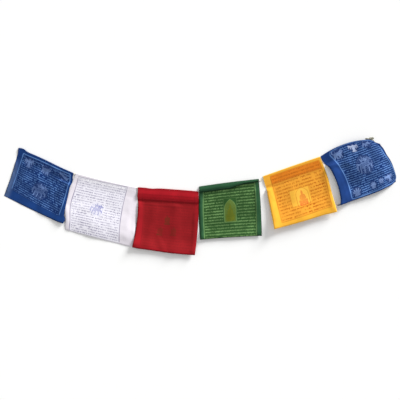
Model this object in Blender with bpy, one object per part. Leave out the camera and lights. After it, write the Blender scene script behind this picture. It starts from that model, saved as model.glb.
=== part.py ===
"""A string of six printed cotton flags, laid along a shallow arc on a flat surface.

Each flag is one rectangle of thin cotton. Its top edge is turned over a header string and
stitched down as a casing, so the string runs through all six. +X is to the right along the
string, +Y points from the flags' lower edges to their tops, and +Z is up from the surface.
The origin is on the surface, at the middle of the whole string. Sizes are in millimetres,
and MM turns them into metres where the meshes are made.
"""

from collections import namedtuple

import bpy
import numpy as np

MM = 0.001

# The cloth and the string
CLOTH = 1.2  # thickness that stands for the cotton
STACK = CLOTH + 0.6  # from the middle of one layer to the middle of the next
LOOP_RADIUS = 2.7  # middle of the cloth where it goes round the string
STRING_RADIUS = 1.05
SINK = 1.3  # how far the low parts of a flag's relief lie below the surface, so that they rest flat
FADE = 12.0  # below a casing, the cloth's relief comes in over this distance
CREST_START = 0.72  # the bowed flag falls to its right edge from this share of its width on
CENTRE = (-0.32, -0.13)  # the middle of the whole string as the rows below place it

# One row for each flag, from left to right. The corners are where the cloth's outline lies;
# a bow is how far the middle of that edge stands out from a straight line. An "over" flag has
# its casing turned to the front, the others to the back. "hem" is the depth of the casing's
# turned layer, "string" the depth that the string lies at and "band" the depth where the front
# layer meets the surface again, each at even steps across the flag. Before that the front layer
# is puffed up by "puff". "crown" is the height that the whole flag is bowed up by.
Flag = namedtuple(
    "Flag",
    "name colour top_left top_right bottom_right bottom_left "
    "bow_top bow_right bow_bottom bow_left over hem string band puff crown",
)
FLAGS = [
    Flag(
        "blue_flag_left", (0.012, 0.055, 0.262),
        (-421.0, 111.2), (-296.6, 53.6), (-322.4, -65.3), (-459.6, 0.7),
        -2.0, -1.5, -1.0, -1.5, False, (18.0,), (2.7,), (25.0,), 0.6, 0.0,
    ),
    Flag(
        "white_flag", (0.87, 0.86, 0.90),
        (-290.4, 53.6), (-150.4, 20.7), (-156.6, -120.6), (-313.8, -79.6),
        -1.5, 4.0, 0.5, 6.0, False, (12.0,), (2.7,), (17.0,), 0.0, 0.0,
    ),
    Flag(
        "red_flag", (0.42, 0.010, 0.016),
        (-146.5, 20.1), (-4.4, 10.6), (-12.9, -138.0), (-158.4, -117.7),
        1.0, 3.4, 1.0, -5.0, False, (25.0, 21.0), (2.7, 4.5, 7.5, 7.0, 4.0), (33.0, 28.0), 4.6, 0.0,
    ),
    Flag(
        "green_flag", (0.024, 0.098, 0.036),
        (-2.4, 22.0), (136.4, 39.8), (143.4, -92.9), (-0.3, -102.0),
        1.0, 1.5, -1.0, 0.0, True, (14.0, 14.8, 14.5, 7.5, 6.0), (11.4, 9.5, 7.0, 3.8, 3.2), (17.0,), 0.0, 0.0,
    ),
    Flag(
        "yellow_flag", (0.88, 0.42, 0.018),
        (146.0, 45.8), (278.4, 92.0), (317.6, -33.6), (171.4, -77.4),
        1.5, 1.5, -1.0, -1.5, False, (26.0,), (2.7,), (33.5,), 1.0, 0.0,
    ),
    Flag(
        "blue_flag_right", (0.014, 0.062, 0.285),
        (282.4, 93.4), (426.0, 130.0), (463.6, 28.4), (329.0, -20.6),
        14.6, 2.5, 2.5, -9.5, False, (14.0,), (2.7,), (20.0,), 0.0, 9.0,
    ),
]

# One row for each fold, lifted edge or ripple: a soft ridge along a line from start to end,
# given as shares (across, down) of the flat flag, with its height and its half width.
Fold = namedtuple("Fold", "flag start end height half_width")
FOLDS = [
    Fold("blue_flag_left", (1.00, 0.30), (1.00, 1.00), 5.2, 24),
    Fold("blue_flag_left", (0.30, 1.00), (1.00, 1.00), 2.6, 16),
    Fold("blue_flag_left", (0.00, 0.34), (0.00, 0.86), 2.8, 9),
    Fold("blue_flag_left", (0.44, 0.32), (0.64, 0.92), 1.9, 15),
    Fold("white_flag", (0.14, 1.00), (0.96, 1.00), 6.4, 22),
    Fold("white_flag", (0.89, 0.20), (0.85, 0.80), 2.8, 8),
    Fold("white_flag", (0.42, 0.35), (0.36, 0.95), 1.8, 18),
    Fold("red_flag", (0.00, 1.00), (1.00, 1.00), 8.0, 22),
    Fold("red_flag", (0.00, 0.34), (0.00, 0.90), 3.6, 13),
    Fold("red_flag", (0.27, 0.34), (0.22, 0.90), 2.2, 13),
    Fold("red_flag", (0.62, 0.30), (0.66, 0.95), 2.4, 14),
    Fold("red_flag", (1.00, 0.34), (1.00, 0.92), 2.4, 12),
    Fold("green_flag", (0.00, 1.00), (1.00, 1.00), 4.8, 15),
    Fold("green_flag", (0.95, 0.22), (0.97, 0.92), 2.6, 8),
    Fold("green_flag", (0.05, 0.30), (0.05, 0.95), 2.2, 8),
    Fold("green_flag", (0.50, 0.42), (0.55, 0.90), 1.7, 15),
    Fold("yellow_flag", (0.00, 1.00), (1.00, 1.00), 5.4, 18),
    Fold("yellow_flag", (0.03, 0.30), (0.05, 0.80), 2.6, 9),
    Fold("yellow_flag", (0.95, 0.26), (0.96, 0.90), 2.4, 8),
    Fold("yellow_flag", (0.40, 0.40), (0.46, 0.90), 1.7, 14),
    Fold("blue_flag_right", (0.00, 1.00), (0.88, 1.00), 3.6, 16),
    Fold("blue_flag_right", (0.04, 0.24), (0.30, 0.34), 2.6, 9),
    Fold("blue_flag_right", (0.16, 0.48), (0.14, 0.95), 2.4, 9),
    Fold("blue_flag_right", (0.62, 0.40), (0.66, 0.92), 1.8, 16),
]

# One row for each place where the outline is pulled aside: where it is, how far it moves,
# and how far the pull reaches.
Tug = namedtuple("Tug", "flag at move reach")
TUGS = [
    Tug("blue_flag_left", (1.00, 0.16), (1.8, 0.6), 11),
    Tug("blue_flag_left", (1.00, 0.92), (3.6, 1.2), 9),
    Tug("blue_flag_left", (0.00, 0.00), (-0.6, 1.4), 14),
    Tug("white_flag", (0.00, 0.55), (-7.0, 0.0), 36),
    Tug("white_flag", (0.00, 0.96), (-2.4, 1.0), 14),
    Tug("red_flag", (0.23, 0.00), (0.0, -1.4), 12),
    Tug("red_flag", (0.00, 0.16), (-1.6, 0.0), 10),
    Tug("red_flag", (0.00, 1.00), (-1.4, 0.6), 14),
    Tug("green_flag", (0.00, 0.55), (1.2, 0.0), 22),
    Tug("yellow_flag", (0.00, 0.24), (1.4, 0.0), 9),
    Tug("yellow_flag", (1.00, 0.98), (2.0, 0.4), 9),
    Tug("blue_flag_right", (0.00, 0.12), (-3.6, -2.4), 14),
    Tug("blue_flag_right", (1.00, 0.00), (-4.6, -5.6), 15),
    Tug("blue_flag_right", (1.00, 1.00), (-4.8, 3.6), 13),
    Tug("blue_flag_right", (0.00, 1.00), (-3.0, -1.0), 8),
]

# The grid that each flag is modelled on
COLUMNS = 13
HEM_ROWS = 4
LOOP_ROWS = 7
BAND_ROWS = 7
BODY_ROWS = 10

# The string runs through each casing at these shares of the flag's width. Its free end turns
# back over the last flag's corner and ends in a knot.
STRING_STATIONS = (0.03, 0.26, 0.5, 0.74, 0.97)
STRING_START = 0.012
STRING_END = 0.995
STRING_STEP = 18.0
TAIL = [(426.6, 121.2, 3.3), (429.0, 125.4, 2.8), (426.4, 129.6, 2.2), (417.0, 131.6, 1.9), (407.0, 133.6, 2.4)]
KNOT = [(401.0, 135.0, 3.0), (395.5, 135.6, 3.0)]
KNOT_SWELL = 2.1


def smooth(x):
    """0 below 0, 1 above 1, and an even ramp with level ends between them."""
    x = np.clip(x, 0.0, 1.0)
    return x * x * (3.0 - 2.0 * x)


def across_flag(values, across):
    """A depth that is given at even steps across the flag, at the share asked for."""
    return np.interp(across, np.linspace(0.0, 1.0, len(values)), values)


def flat_size(flag):
    """The flag's width and its height below the top edge, as it lies flat."""
    corners = [np.array(p) for p in (flag.top_left, flag.top_right, flag.bottom_right, flag.bottom_left)]
    sides = [np.linalg.norm(corners[i] - corners[i - 1]) for i in range(4)]
    return (sides[1] + sides[3]) / 2, (sides[0] + sides[2]) / 2


def edge(start, end, bow, share):
    """A point on a bowed edge: the straight line from start to end, moved out by a parabola."""
    start, end = np.array(start), np.array(end)
    along = end - start
    outward = np.array([along[1], -along[0]]) / np.linalg.norm(along)
    share = np.asarray(share)[..., None]
    return start + along * share - outward * bow * 4.0 * share * (1.0 - share)


def plan(flag, across, down):
    """Where a point of the flag lies on the surface: a blend of its four bowed edges, then the tugs."""
    width, height = flat_size(flag)
    tl, tr, br, bl = (np.array(p) for p in (flag.top_left, flag.top_right, flag.bottom_right, flag.bottom_left))
    top = edge(tl, tr, flag.bow_top, across)
    bottom = edge(bl, br, -flag.bow_bottom, across)
    left = edge(tl, bl, -flag.bow_left, down)
    right = edge(tr, br, flag.bow_right, down)
    u, v = across[..., None], down[..., None]
    corners = (1 - u) * (1 - v) * tl + u * (1 - v) * tr + u * v * br + (1 - u) * v * bl
    place = (1 - v) * top + v * bottom + (1 - u) * left + u * right - corners
    for tug in TUGS:
        if tug.flag == flag.name:
            far = np.hypot((across - tug.at[0]) * width, (down - tug.at[1]) * height) / tug.reach
            place = place + np.exp(-(far**2))[..., None] * np.array(tug.move)
    return place


def relief(flag, across, down):
    """The height of the flag's folds: a rounded ridge along each row's line, clear of the casing."""
    width, height = flat_size(flag)
    size = np.array([width, height])
    point = np.stack([across, down], axis=-1) * size
    total = np.zeros(across.shape)
    for fold in FOLDS:
        if fold.flag == flag.name:
            start, end = np.array(fold.start) * size, np.array(fold.end) * size
            along = end - start
            share = np.clip(((point - start) @ along) / (along @ along), 0.0, 1.0)
            far = np.linalg.norm(point - start - share[..., None] * along, axis=-1)
            total += fold.height * np.exp(-((far / fold.half_width) ** 2))
    fade = smooth((down * height - across_flag(flag.band, across)) / FADE)
    return np.maximum(total - SINK, 0.0) * fade


def crown(flag, across, down):
    """How far the whole flag is bowed up: it rises from the left edge and rolls off at the right."""
    rise = smooth(across / 0.5)
    roll_off = 1.0 - smooth((across - CREST_START) / (1.0 - CREST_START))
    return flag.crown * rise * roll_off * (0.7 + 0.3 * np.sin(np.pi * np.clip(down, 0.0, 1.0)))


def front_layer(flag, hem, band, depth):
    """The height of the layer over a back casing: from the loop's top down to one stack at the hem,
    puffed up between them, and then down to the surface."""
    share = np.clip((depth - LOOP_RADIUS) / (hem - LOOP_RADIUS), 0.0, 1.0)
    height = 2 * LOOP_RADIUS + (STACK - 2 * LOOP_RADIUS) * smooth(share)
    height += flag.puff * np.sin(np.pi * share) ** 2
    drop = smooth((depth - hem) / (band - hem))
    return height * (1.0 - drop)


def section(flag, across):
    """The flag's section at one place across it, as depth below the top edge and layer height, from
    the hem's raw edge round the string to the bottom edge. The hem of an "over" casing lies on the
    string, so it stays as high as the loop's top."""
    hem = across_flag(flag.hem, across)
    band = across_flag(flag.band, across)
    height = flat_size(flag)[1]
    hem_depth = np.linspace(hem, LOOP_RADIUS, HEM_ROWS)
    angle = np.linspace(-np.pi / 2, np.pi / 2, LOOP_ROWS)
    loop_depth = LOOP_RADIUS * (1.0 - np.cos(angle))
    loop_height = LOOP_RADIUS * (1.0 + np.sin(angle))
    band_depth = np.concatenate(
        [
            np.linspace(LOOP_RADIUS, hem, BAND_ROWS - 2)[1:],
            np.linspace(hem, band, 3)[1:],
        ]
    )
    body_depth = np.linspace(band, height, BODY_ROWS + 1)[1:]
    body_height = np.zeros(len(body_depth))
    if flag.over:
        hem_height = np.full(len(hem_depth), 2 * LOOP_RADIUS)
        loop_height = loop_height[::-1]
        band_height = np.zeros(len(band_depth))
    else:
        hem_height = np.zeros(len(hem_depth))
        band_height = front_layer(flag, hem, band, band_depth)
    depth = np.concatenate([hem_depth, loop_depth[1:], band_depth, body_depth])
    layer = np.concatenate([hem_height, loop_height[1:], band_height, body_height])
    return depth, layer


def middle_surface(flag):
    """The middle of the cloth as a grid of points, with a row for each step along the section. The
    loop round the string keeps its radius where a tug narrows the cloth."""
    height = flat_size(flag)[1]
    across = (1.0 - np.cos(np.linspace(0.0, np.pi, COLUMNS))) / 2.0
    across = 0.5 * across + 0.5 * np.linspace(0.0, 1.0, COLUMNS)
    sections = [section(flag, share) for share in across]
    depth = np.stack([s[0] for s in sections], axis=1)
    layer = np.stack([s[1] for s in sections], axis=1)
    across = np.broadcast_to(across, depth.shape)
    down = np.maximum(depth, LOOP_RADIUS) / height
    place = plan(flag, across, down)
    ahead = plan(flag, across, down + 1.0 / height) - place
    ahead /= np.linalg.norm(ahead, axis=-1, keepdims=True)
    place += ahead * np.minimum(depth - LOOP_RADIUS, 0.0)[..., None]
    z = CLOTH / 2 + layer + relief(flag, across, down) + crown(flag, across, down)
    return np.concatenate([place, z[..., None]], axis=-1)


def sheet_faces(rows, columns):
    """The faces of a closed sheet whose upper grid comes first and whose lower grid follows it."""
    upper = np.arange(rows * columns).reshape(rows, columns)
    lower = upper + rows * columns
    faces = []
    for grid, turned in ((upper, False), (lower, True)):
        a, b, c, d = (g.ravel() for g in (grid[:-1, :-1], grid[1:, :-1], grid[1:, 1:], grid[:-1, 1:]))
        faces += np.stack([d, c, b, a] if turned else [a, b, c, d], axis=1).tolist()
    rim = np.concatenate([upper[0, :-1], upper[:-1, -1], upper[-1, :0:-1], upper[:0:-1, 0]])
    under = rim + rows * columns
    faces += np.stack([rim, np.roll(rim, -1), np.roll(under, -1), under], axis=1).tolist()
    return faces


def from_centre(points):
    """Points in millimetres as the rows place them, in metres from the origin."""
    return (points - np.array([*CENTRE, 0.0])) * MM


def cotton(name, colour):
    material = bpy.data.materials.new(name)
    material.use_nodes = True
    shader = material.node_tree.nodes["Principled BSDF"]
    shader.inputs["Base Color"].default_value = (*colour, 1.0)
    shader.inputs["Roughness"].default_value = 0.9
    shader.inputs["Metallic"].default_value = 0.0
    return material


def add_object(name, data, material):
    item = bpy.data.objects.new(name, data)
    item.data.materials.append(material)
    bpy.context.scene.collection.objects.link(item)
    return item


def make_flag(flag):
    """One flag: the middle surface, given its thickness along its own normals."""
    middle = middle_surface(flag)
    down_step, across_step = np.gradient(middle, axis=(0, 1))
    normal = np.cross(down_step, across_step)
    normal /= np.linalg.norm(normal, axis=-1, keepdims=True)
    half = normal * CLOTH / 2
    points = np.concatenate([(middle + half).reshape(-1, 3), (middle - half).reshape(-1, 3)])
    points[:, 2] = np.maximum(points[:, 2], 0.0)
    mesh = bpy.data.meshes.new(flag.name)
    mesh.from_pydata(from_centre(points).tolist(), [], sheet_faces(*middle.shape[:2]))
    mesh.shade_smooth()
    mesh.set_sharp_from_angle(angle=np.radians(40))
    return add_object(flag.name, mesh, cotton(flag.name + "_cotton", flag.colour))


def string_route():
    """The string's own points: along its place in every casing, then the free tail."""
    route = []
    for flag in FLAGS:
        height = flat_size(flag)[1]
        across = np.array(STRING_STATIONS)
        if flag is FLAGS[0]:
            across[0] = STRING_START
        if flag is FLAGS[-1]:
            across[-1] = STRING_END
        down = across_flag(flag.string, across) / height
        z = CLOTH / 2 + LOOP_RADIUS + crown(flag, across, down)
        route += np.concatenate([plan(flag, across, down), z[:, None]], axis=1).tolist()
    return np.array(route + TAIL + KNOT)


def smooth_curve(route):
    """Points on the smooth curve through the route, at least two to a stretch, each with its share
    of the route."""
    ends = np.concatenate([[2 * route[0] - route[1]], route, [2 * route[-1] - route[-2]]])
    points, at = [], []
    for k in range(len(route) - 1):
        a, b, c, d = ends[k : k + 4]
        steps = max(2, int(np.ceil(np.linalg.norm(c - b) / STRING_STEP)))
        for s in np.arange(steps) / steps:
            cubic = (2 * a - 5 * b + 4 * c - d) * s**2 + (3 * b - a - 3 * c + d) * s**3
            points.append(0.5 * (2 * b + (c - a) * s + cubic))
            at.append(k + s)
    return np.array(points + [route[-1]]), np.array(at + [len(route) - 1.0])


def make_string():
    """The header string: one tube through every casing, swollen where its end is knotted."""
    route = string_route()
    points, at = smooth_curve(route)
    knot_start = len(route) - len(KNOT)
    swell = 1.0 + (KNOT_SWELL - 1.0) * smooth((at - knot_start + 0.9) / 0.8)
    curve = bpy.data.curves.new("header_string", "CURVE")
    curve.dimensions = "3D"
    curve.bevel_depth = STRING_RADIUS * MM
    curve.bevel_resolution = 2
    curve.use_fill_caps = True
    spline = curve.splines.new("POLY")
    spline.points.add(len(points) - 1)
    for target, place, radius in zip(spline.points, from_centre(points), swell):
        target.co = (*place, 1.0)
        target.radius = radius
    return add_object("header_string", curve, cotton("string_cotton", (0.80, 0.77, 0.70)))


for old in list(bpy.data.objects):
    bpy.data.objects.remove(old)
for row in FLAGS:
    make_flag(row)
make_string()
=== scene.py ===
# %% [markdown]
# # A string of six printed cotton flags
# The real thing is a garland: six squares of thin dyed cotton, each block-printed in one ink, with its
# top edge turned over a cotton string and stitched down. It lies on a table in a shallow arc. The
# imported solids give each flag's place and main folds. This script lays thin cloth on those folds, and
# adds the print, the weave, the stitches, the twisted string, and a studio to look at them in.

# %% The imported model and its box
from collections import namedtuple

import bpy
import numpy as np
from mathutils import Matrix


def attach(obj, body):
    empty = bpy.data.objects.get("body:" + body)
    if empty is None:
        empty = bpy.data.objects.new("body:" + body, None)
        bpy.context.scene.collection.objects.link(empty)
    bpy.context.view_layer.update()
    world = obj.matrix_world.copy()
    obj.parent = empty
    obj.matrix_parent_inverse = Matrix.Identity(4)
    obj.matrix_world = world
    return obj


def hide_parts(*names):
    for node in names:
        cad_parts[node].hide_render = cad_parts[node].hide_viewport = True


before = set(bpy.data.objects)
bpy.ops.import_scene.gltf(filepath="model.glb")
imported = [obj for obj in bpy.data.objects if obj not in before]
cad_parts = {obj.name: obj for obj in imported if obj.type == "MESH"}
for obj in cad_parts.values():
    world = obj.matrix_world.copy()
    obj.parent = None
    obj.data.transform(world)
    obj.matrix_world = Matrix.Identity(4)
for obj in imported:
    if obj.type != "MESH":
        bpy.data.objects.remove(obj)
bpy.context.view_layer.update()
print("solids:", sorted(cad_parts))

# %% [markdown]
# ## Camera and light
# The photograph looks straight down, so the camera hangs over the middle with a long lens, which keeps
# the flags at the far ends from leaning. The light comes low from the upper right, so each lower and
# left edge throws a wide soft shadow. A lamp near by would light one end more than the other,
# so this is a sun, whose light is the same everywhere, with a wide disc to soften its shadows. An even
# white sky fills the rest, as a studio's white walls do.

# %% Camera, sun and sky
PICTURE_WIDTH = 0.936  # what the picture's width covers on the table, in metres
PICTURE_CENTRE = (-0.0006, -0.0092)
LENS = 85.0
SENSOR = 36.0
SUN_HEIGHT = np.radians(19.5)  # above the horizon
SUN_SIDE = np.radians(-40.0)  # how far to the right of straight above the flags it stands
SUN_DISC = np.radians(22.0)
SUN_STRENGTH = 4.55
SKY = 0.60

scene = bpy.context.scene
scene.view_settings.view_transform = "Standard"

camera_data = bpy.data.cameras.new("camera")
camera_data.lens = LENS
camera_data.sensor_width = SENSOR
camera = bpy.data.objects.new("camera", camera_data)
camera.location = (*PICTURE_CENTRE, PICTURE_WIDTH * LENS / SENSOR)
scene.collection.objects.link(camera)
scene.camera = camera

sun_data = bpy.data.lights.new("sun", "SUN")
sun_data.angle = SUN_DISC
sun_data.energy = SUN_STRENGTH
sun = bpy.data.objects.new("sun", sun_data)
sun.rotation_euler = (SUN_HEIGHT - np.pi / 2, 0.0, SUN_SIDE)
scene.collection.objects.link(sun)

sky = bpy.data.worlds.new("sky")
sky.use_nodes = True
sky.node_tree.nodes["Background"].inputs["Color"].default_value = (1.0, 1.0, 1.0, 1.0)
sky.node_tree.nodes["Background"].inputs["Strength"].default_value = SKY
scene.world = sky
print("camera", round(camera.location.z, 2), "m above the table")

# %% [markdown]
# ## Where each flag lies
# A flag is one rectangle of cloth. It could be draped by a simulation, but cloth that somebody has
# smoothed out by hand has few folds, and each is seen in the photograph, so its shape is written down
# instead. The rows say where the corners lie, how far each edge bows out, how deep the turned casing
# is, and how far the flag is puffed or bowed up. They are the same named values that the solids have.

# %% Sizes and flags, in millimetres
MM = 0.001
COTTON = 0.34  # thickness of the cloth
STACK = 0.8  # from the middle of one layer of cloth to the middle of the next
LOOP_RADIUS = 1.35  # middle of the cloth where it goes round the string
CREST_START = 0.72
CENTRE = (-0.32, -0.13)

Flag = namedtuple(
    "Flag",
    "name top_left top_right bottom_right bottom_left "
    "bow_top bow_right bow_bottom bow_left over hem string band puff crown",
)
FLAGS = [
    Flag(
        "blue_flag_left",
        (-421.0, 111.2), (-296.6, 53.6), (-322.4, -65.3), (-459.6, 0.7),
        -1.4, -1.5, 1.4, -1.5, False, (18.0,), (1.4,), (25.0,), 0.6, 0.0,
    ),
    Flag(
        "white_flag",
        (-290.4, 53.6), (-150.4, 20.7), (-156.6, -120.6), (-313.8, -79.6),
        -1.5, 4.0, 0.5, 6.0, False, (12.0,), (1.4,), (27.0,), 0.0, 0.0,
    ),
    Flag(
        "red_flag",
        (-146.5, 20.1), (-4.4, 10.6), (-12.9, -138.0), (-158.4, -117.7),
        1.0, 3.4, 3.4, -5.0, False, (29.0, 26.5), (1.4, 4.0, 7.0, 6.5, 3.0), (31.5, 29.0), 4.0, 0.0,
    ),
    Flag(
        "green_flag",
        (-2.4, 22.0), (136.4, 39.8), (143.4, -92.9), (-0.3, -102.0),
        1.0, 1.5, -1.0, 0.0, True, (14.0, 14.8, 14.5, 7.5, 6.0), (11.4, 9.5, 7.0, 3.8, 3.2), (17.0,), 0.0, 0.0,
    ),
    Flag(
        "yellow_flag",
        (146.0, 45.8), (278.4, 92.0), (317.6, -33.6), (171.4, -77.4),
        0.4, 1.5, 2.0, -1.5, False, (26.0,), (1.4,), (31.0,), 1.2, 0.0,
    ),
    Flag(
        "blue_flag_right",
        (282.4, 93.4), (426.0, 130.0), (463.6, 28.4), (329.0, -20.6),
        14.6, 2.5, 0.6, -9.5, False, (14.0,), (1.4,), (22.0,), 0.0, 9.0,
    ),
]
print(len(FLAGS), "flags")

# %% [markdown]
# ## Folds, creases and tugs
# A fold is a soft ridge along a line, and a crease is a narrow one: both are a bell curve of the
# distance to the line, so one formula draws them, and a crease with a negative height is a trough.
# Places are shares of the flag, across and down, and sizes are in millimetres. The folds come from the
# solids. The creases are added here, where the photograph shows them. A tug pulls the outline
# aside.

# %% The folds of the solids, the finer creases, and the tugs
Fold = namedtuple("Fold", "flag start end height half_width")
FOLDS = [
    Fold("blue_flag_left", (1.00, 0.30), (1.00, 1.00), 4.6, 24),
    Fold("blue_flag_left", (0.30, 1.00), (1.00, 1.00), 1.8, 16),
    Fold("blue_flag_left", (0.00, 0.34), (0.00, 0.86), 2.8, 9),
    Fold("blue_flag_left", (0.44, 0.32), (0.64, 0.92), 1.9, 15),
    Fold("white_flag", (0.02, 0.78), (0.98, 0.79), 4.2, 38),
    Fold("white_flag", (0.90, 0.20), (0.87, 0.80), 0.9, 16),
    Fold("white_flag", (0.42, 0.35), (0.36, 0.95), 1.2, 20),
    Fold("red_flag", (0.00, 1.00), (1.00, 1.00), 8.0, 22),
    Fold("red_flag", (0.00, 0.34), (0.00, 0.90), 3.6, 13),
    Fold("red_flag", (0.27, 0.34), (0.22, 0.90), 2.2, 13),
    Fold("red_flag", (0.62, 0.30), (0.66, 0.95), 2.4, 14),
    Fold("red_flag", (1.00, 0.34), (1.00, 0.92), 2.4, 12),
    Fold("green_flag", (0.00, 1.00), (1.00, 1.00), 6.4, 18),
    Fold("green_flag", (0.95, 0.22), (0.97, 0.92), 2.6, 8),
    Fold("green_flag", (0.05, 0.30), (0.05, 0.95), 2.2, 8),
    Fold("green_flag", (0.50, 0.42), (0.55, 0.90), 1.7, 15),
    Fold("yellow_flag", (0.00, 1.00), (1.00, 1.00), 12.5, 32),
    Fold("yellow_flag", (0.03, 0.30), (0.05, 0.80), 2.6, 9),
    Fold("yellow_flag", (0.95, 0.26), (0.96, 0.90), 2.4, 8),
    Fold("yellow_flag", (0.40, 0.40), (0.46, 0.90), 1.7, 14),
    Fold("blue_flag_right", (0.00, 1.00), (0.88, 1.00), 3.6, 16),
    Fold("blue_flag_right", (0.04, 0.24), (0.30, 0.34), 2.6, 9),
    Fold("blue_flag_right", (0.16, 0.48), (0.14, 0.95), 2.4, 9),
    Fold("blue_flag_right", (0.62, 0.40), (0.66, 0.92), 1.8, 16),
]
CREASES = [
    Fold("blue_flag_left", (0.02, 0.30), (0.06, 0.46), 0.9, 4),
    Fold("blue_flag_left", (0.03, 0.52), (0.08, 0.70), 0.8, 4),
    Fold("blue_flag_left", (0.55, 0.21), (0.97, 0.24), 1.0, 3.5),
    Fold("blue_flag_left", (0.70, 0.14), (0.98, 0.16), -0.5, 2.5),
    Fold("white_flag", (0.00, 1.00), (1.00, 1.00), -0.4, 12),
    Fold("white_flag", (0.90, 0.28), (0.87, 0.86), 0.35, 6),
    Fold("white_flag", (0.96, 0.40), (0.97, 0.75), 0.4, 4),
    Fold("white_flag", (0.03, 0.60), (0.05, 0.97), 0.9, 5),
    Fold("white_flag", (0.10, 0.52), (0.70, 0.60), 0.5, 8),
    Fold("red_flag", (0.08, 0.26), (0.90, 0.25), 0.7, 4),
    Fold("red_flag", (0.01, 0.26), (0.02, 0.92), 2.6, 9),
    Fold("red_flag", (0.93, 0.35), (0.95, 0.95), 0.8, 4.5),
    Fold("red_flag", (0.34, 0.72), (0.50, 0.98), 0.8, 6),
    Fold("green_flag", (0.93, 0.20), (0.94, 0.96), 0.9, 2.6),
    Fold("green_flag", (0.975, 0.15), (0.98, 0.92), 0.9, 2.4),
    Fold("green_flag", (0.03, 0.20), (0.04, 0.94), 0.9, 2.6),
    Fold("green_flag", (0.06, 0.80), (0.90, 0.84), 0.4, 6),
    Fold("yellow_flag", (0.05, 0.28), (0.09, 0.46), 0.9, 4),
    Fold("yellow_flag", (0.97, 0.22), (0.98, 0.60), 0.9, 3.5),
    Fold("yellow_flag", (0.20, 0.30), (0.84, 0.33), 0.5, 5),
    Fold("blue_flag_right", (0.01, 0.16), (0.02, 1.00), 9.5, 14),
    Fold("yellow_flag", (0.00, 0.16), (0.00, 0.96), 6.0, 14),
    Fold("blue_flag_right", (0.02, 0.20), (0.14, 0.30), 0.9, 4),
    Fold("blue_flag_right", (0.09, 0.40), (0.10, 0.92), 0.9, 4.5),
    Fold("blue_flag_right", (0.30, 0.86), (0.86, 0.84), 0.6, 6),
]
Tug = namedtuple("Tug", "flag at move reach")
TUGS = [
    Tug("blue_flag_left", (1.00, 0.17), (3.0, 0.8), 9),
    Tug("blue_flag_left", (1.00, 0.93), (4.8, 1.6), 8),
    Tug("blue_flag_left", (0.00, 0.00), (-2.2, 0.6), 9),
    Tug("blue_flag_left", (0.07, 0.00), (0.0, 3.2), 8),
    Tug("blue_flag_left", (0.00, 0.16), (-2.2, 0.0), 40),
    Tug("blue_flag_left", (0.42, 0.00), (0.5, 1.7), 42),
    Tug("white_flag", (0.00, 0.55), (-7.0, 0.0), 36),
    Tug("white_flag", (0.00, 0.96), (-2.4, 1.0), 14),
    Tug("red_flag", (0.23, 0.00), (0.0, -1.4), 12),
    Tug("red_flag", (0.00, 0.16), (-1.6, 0.0), 10),
    Tug("red_flag", (0.04, 1.00), (-1.0, -2.0), 24),
    Tug("green_flag", (0.00, 0.50), (-2.8, 0.0), 52),
    Tug("yellow_flag", (0.00, 0.24), (1.4, 0.0), 9),
    Tug("yellow_flag", (0.98, 1.00), (0.8, -2.8), 20),
    Tug("yellow_flag", (1.00, 0.36), (3.2, 0.0), 42),
    Tug("blue_flag_right", (0.00, 0.12), (-3.6, -2.4), 14),
    Tug("blue_flag_right", (1.00, 0.00), (-6.4, -7.6), 19),
    Tug("blue_flag_right", (1.00, 0.28), (-4.0, -1.6), 18),
    Tug("blue_flag_right", (1.00, 1.00), (-6.2, 4.0), 13),
    Tug("blue_flag_right", (0.84, 1.00), (0.0, 3.0), 20),
    Tug("blue_flag_right", (0.00, 1.00), (-3.0, -1.0), 8),
]
print(len(FOLDS), "folds,", len(CREASES), "creases,", len(TUGS), "tugs")

# %% [markdown]
# ## The cloth's shape as functions of two shares
# Every point of a flag has a share across and a share down. The plan view blends the four bowed edges.
# The height adds up the layer that the point belongs to, the folds and creases, the bow of the whole
# flag, and a little unevenness, because thin cotton never lies quite flat. All of it is worked out on
# whole arrays at once.

# %% Plan, folds and unevenness
SINK = 0.75  # the relief's low parts lie this far down, and so rest flat on the table
SOFTNESS = 0.35  # how gently the cloth leaves the table
FADE = 9.0
WAVES = ((38.0, 0.55), (13.0, 0.24))  # width and height of the unevenness
CURL = 1.3  # how far the cut edges turn down
CURL_WIDTH = 2.4


def smooth(x):
    """0 below 0, 1 above 1, and 3x² - 2x³ between them."""
    x = np.clip(x, 0.0, 1.0)
    return x * x * (3.0 - 2.0 * x)


def across_flag(values, across):
    """A depth that is given at even steps across the flag, read at the share asked for."""
    return np.interp(across, np.linspace(0.0, 1.0, len(values)), values)


def flat_size(flag):
    """Width and height below the top edge: the means of the opposite sides of the four corners."""
    corners = [np.array(p) for p in (flag.top_left, flag.top_right, flag.bottom_right, flag.bottom_left)]
    sides = [np.linalg.norm(corners[i] - corners[i - 1]) for i in range(4)]
    return (sides[1] + sides[3]) / 2, (sides[0] + sides[2]) / 2


def edge(start, end, bow, share):
    """A bowed edge: the straight line from start to end, moved out by the parabola 4 bow s (1 - s)."""
    start, end = np.array(start), np.array(end)
    along = end - start
    outward = np.array([along[1], -along[0]]) / np.linalg.norm(along)
    share = np.asarray(share)[..., None]
    return start + along * share - outward * bow * 4.0 * share * (1.0 - share)


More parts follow.
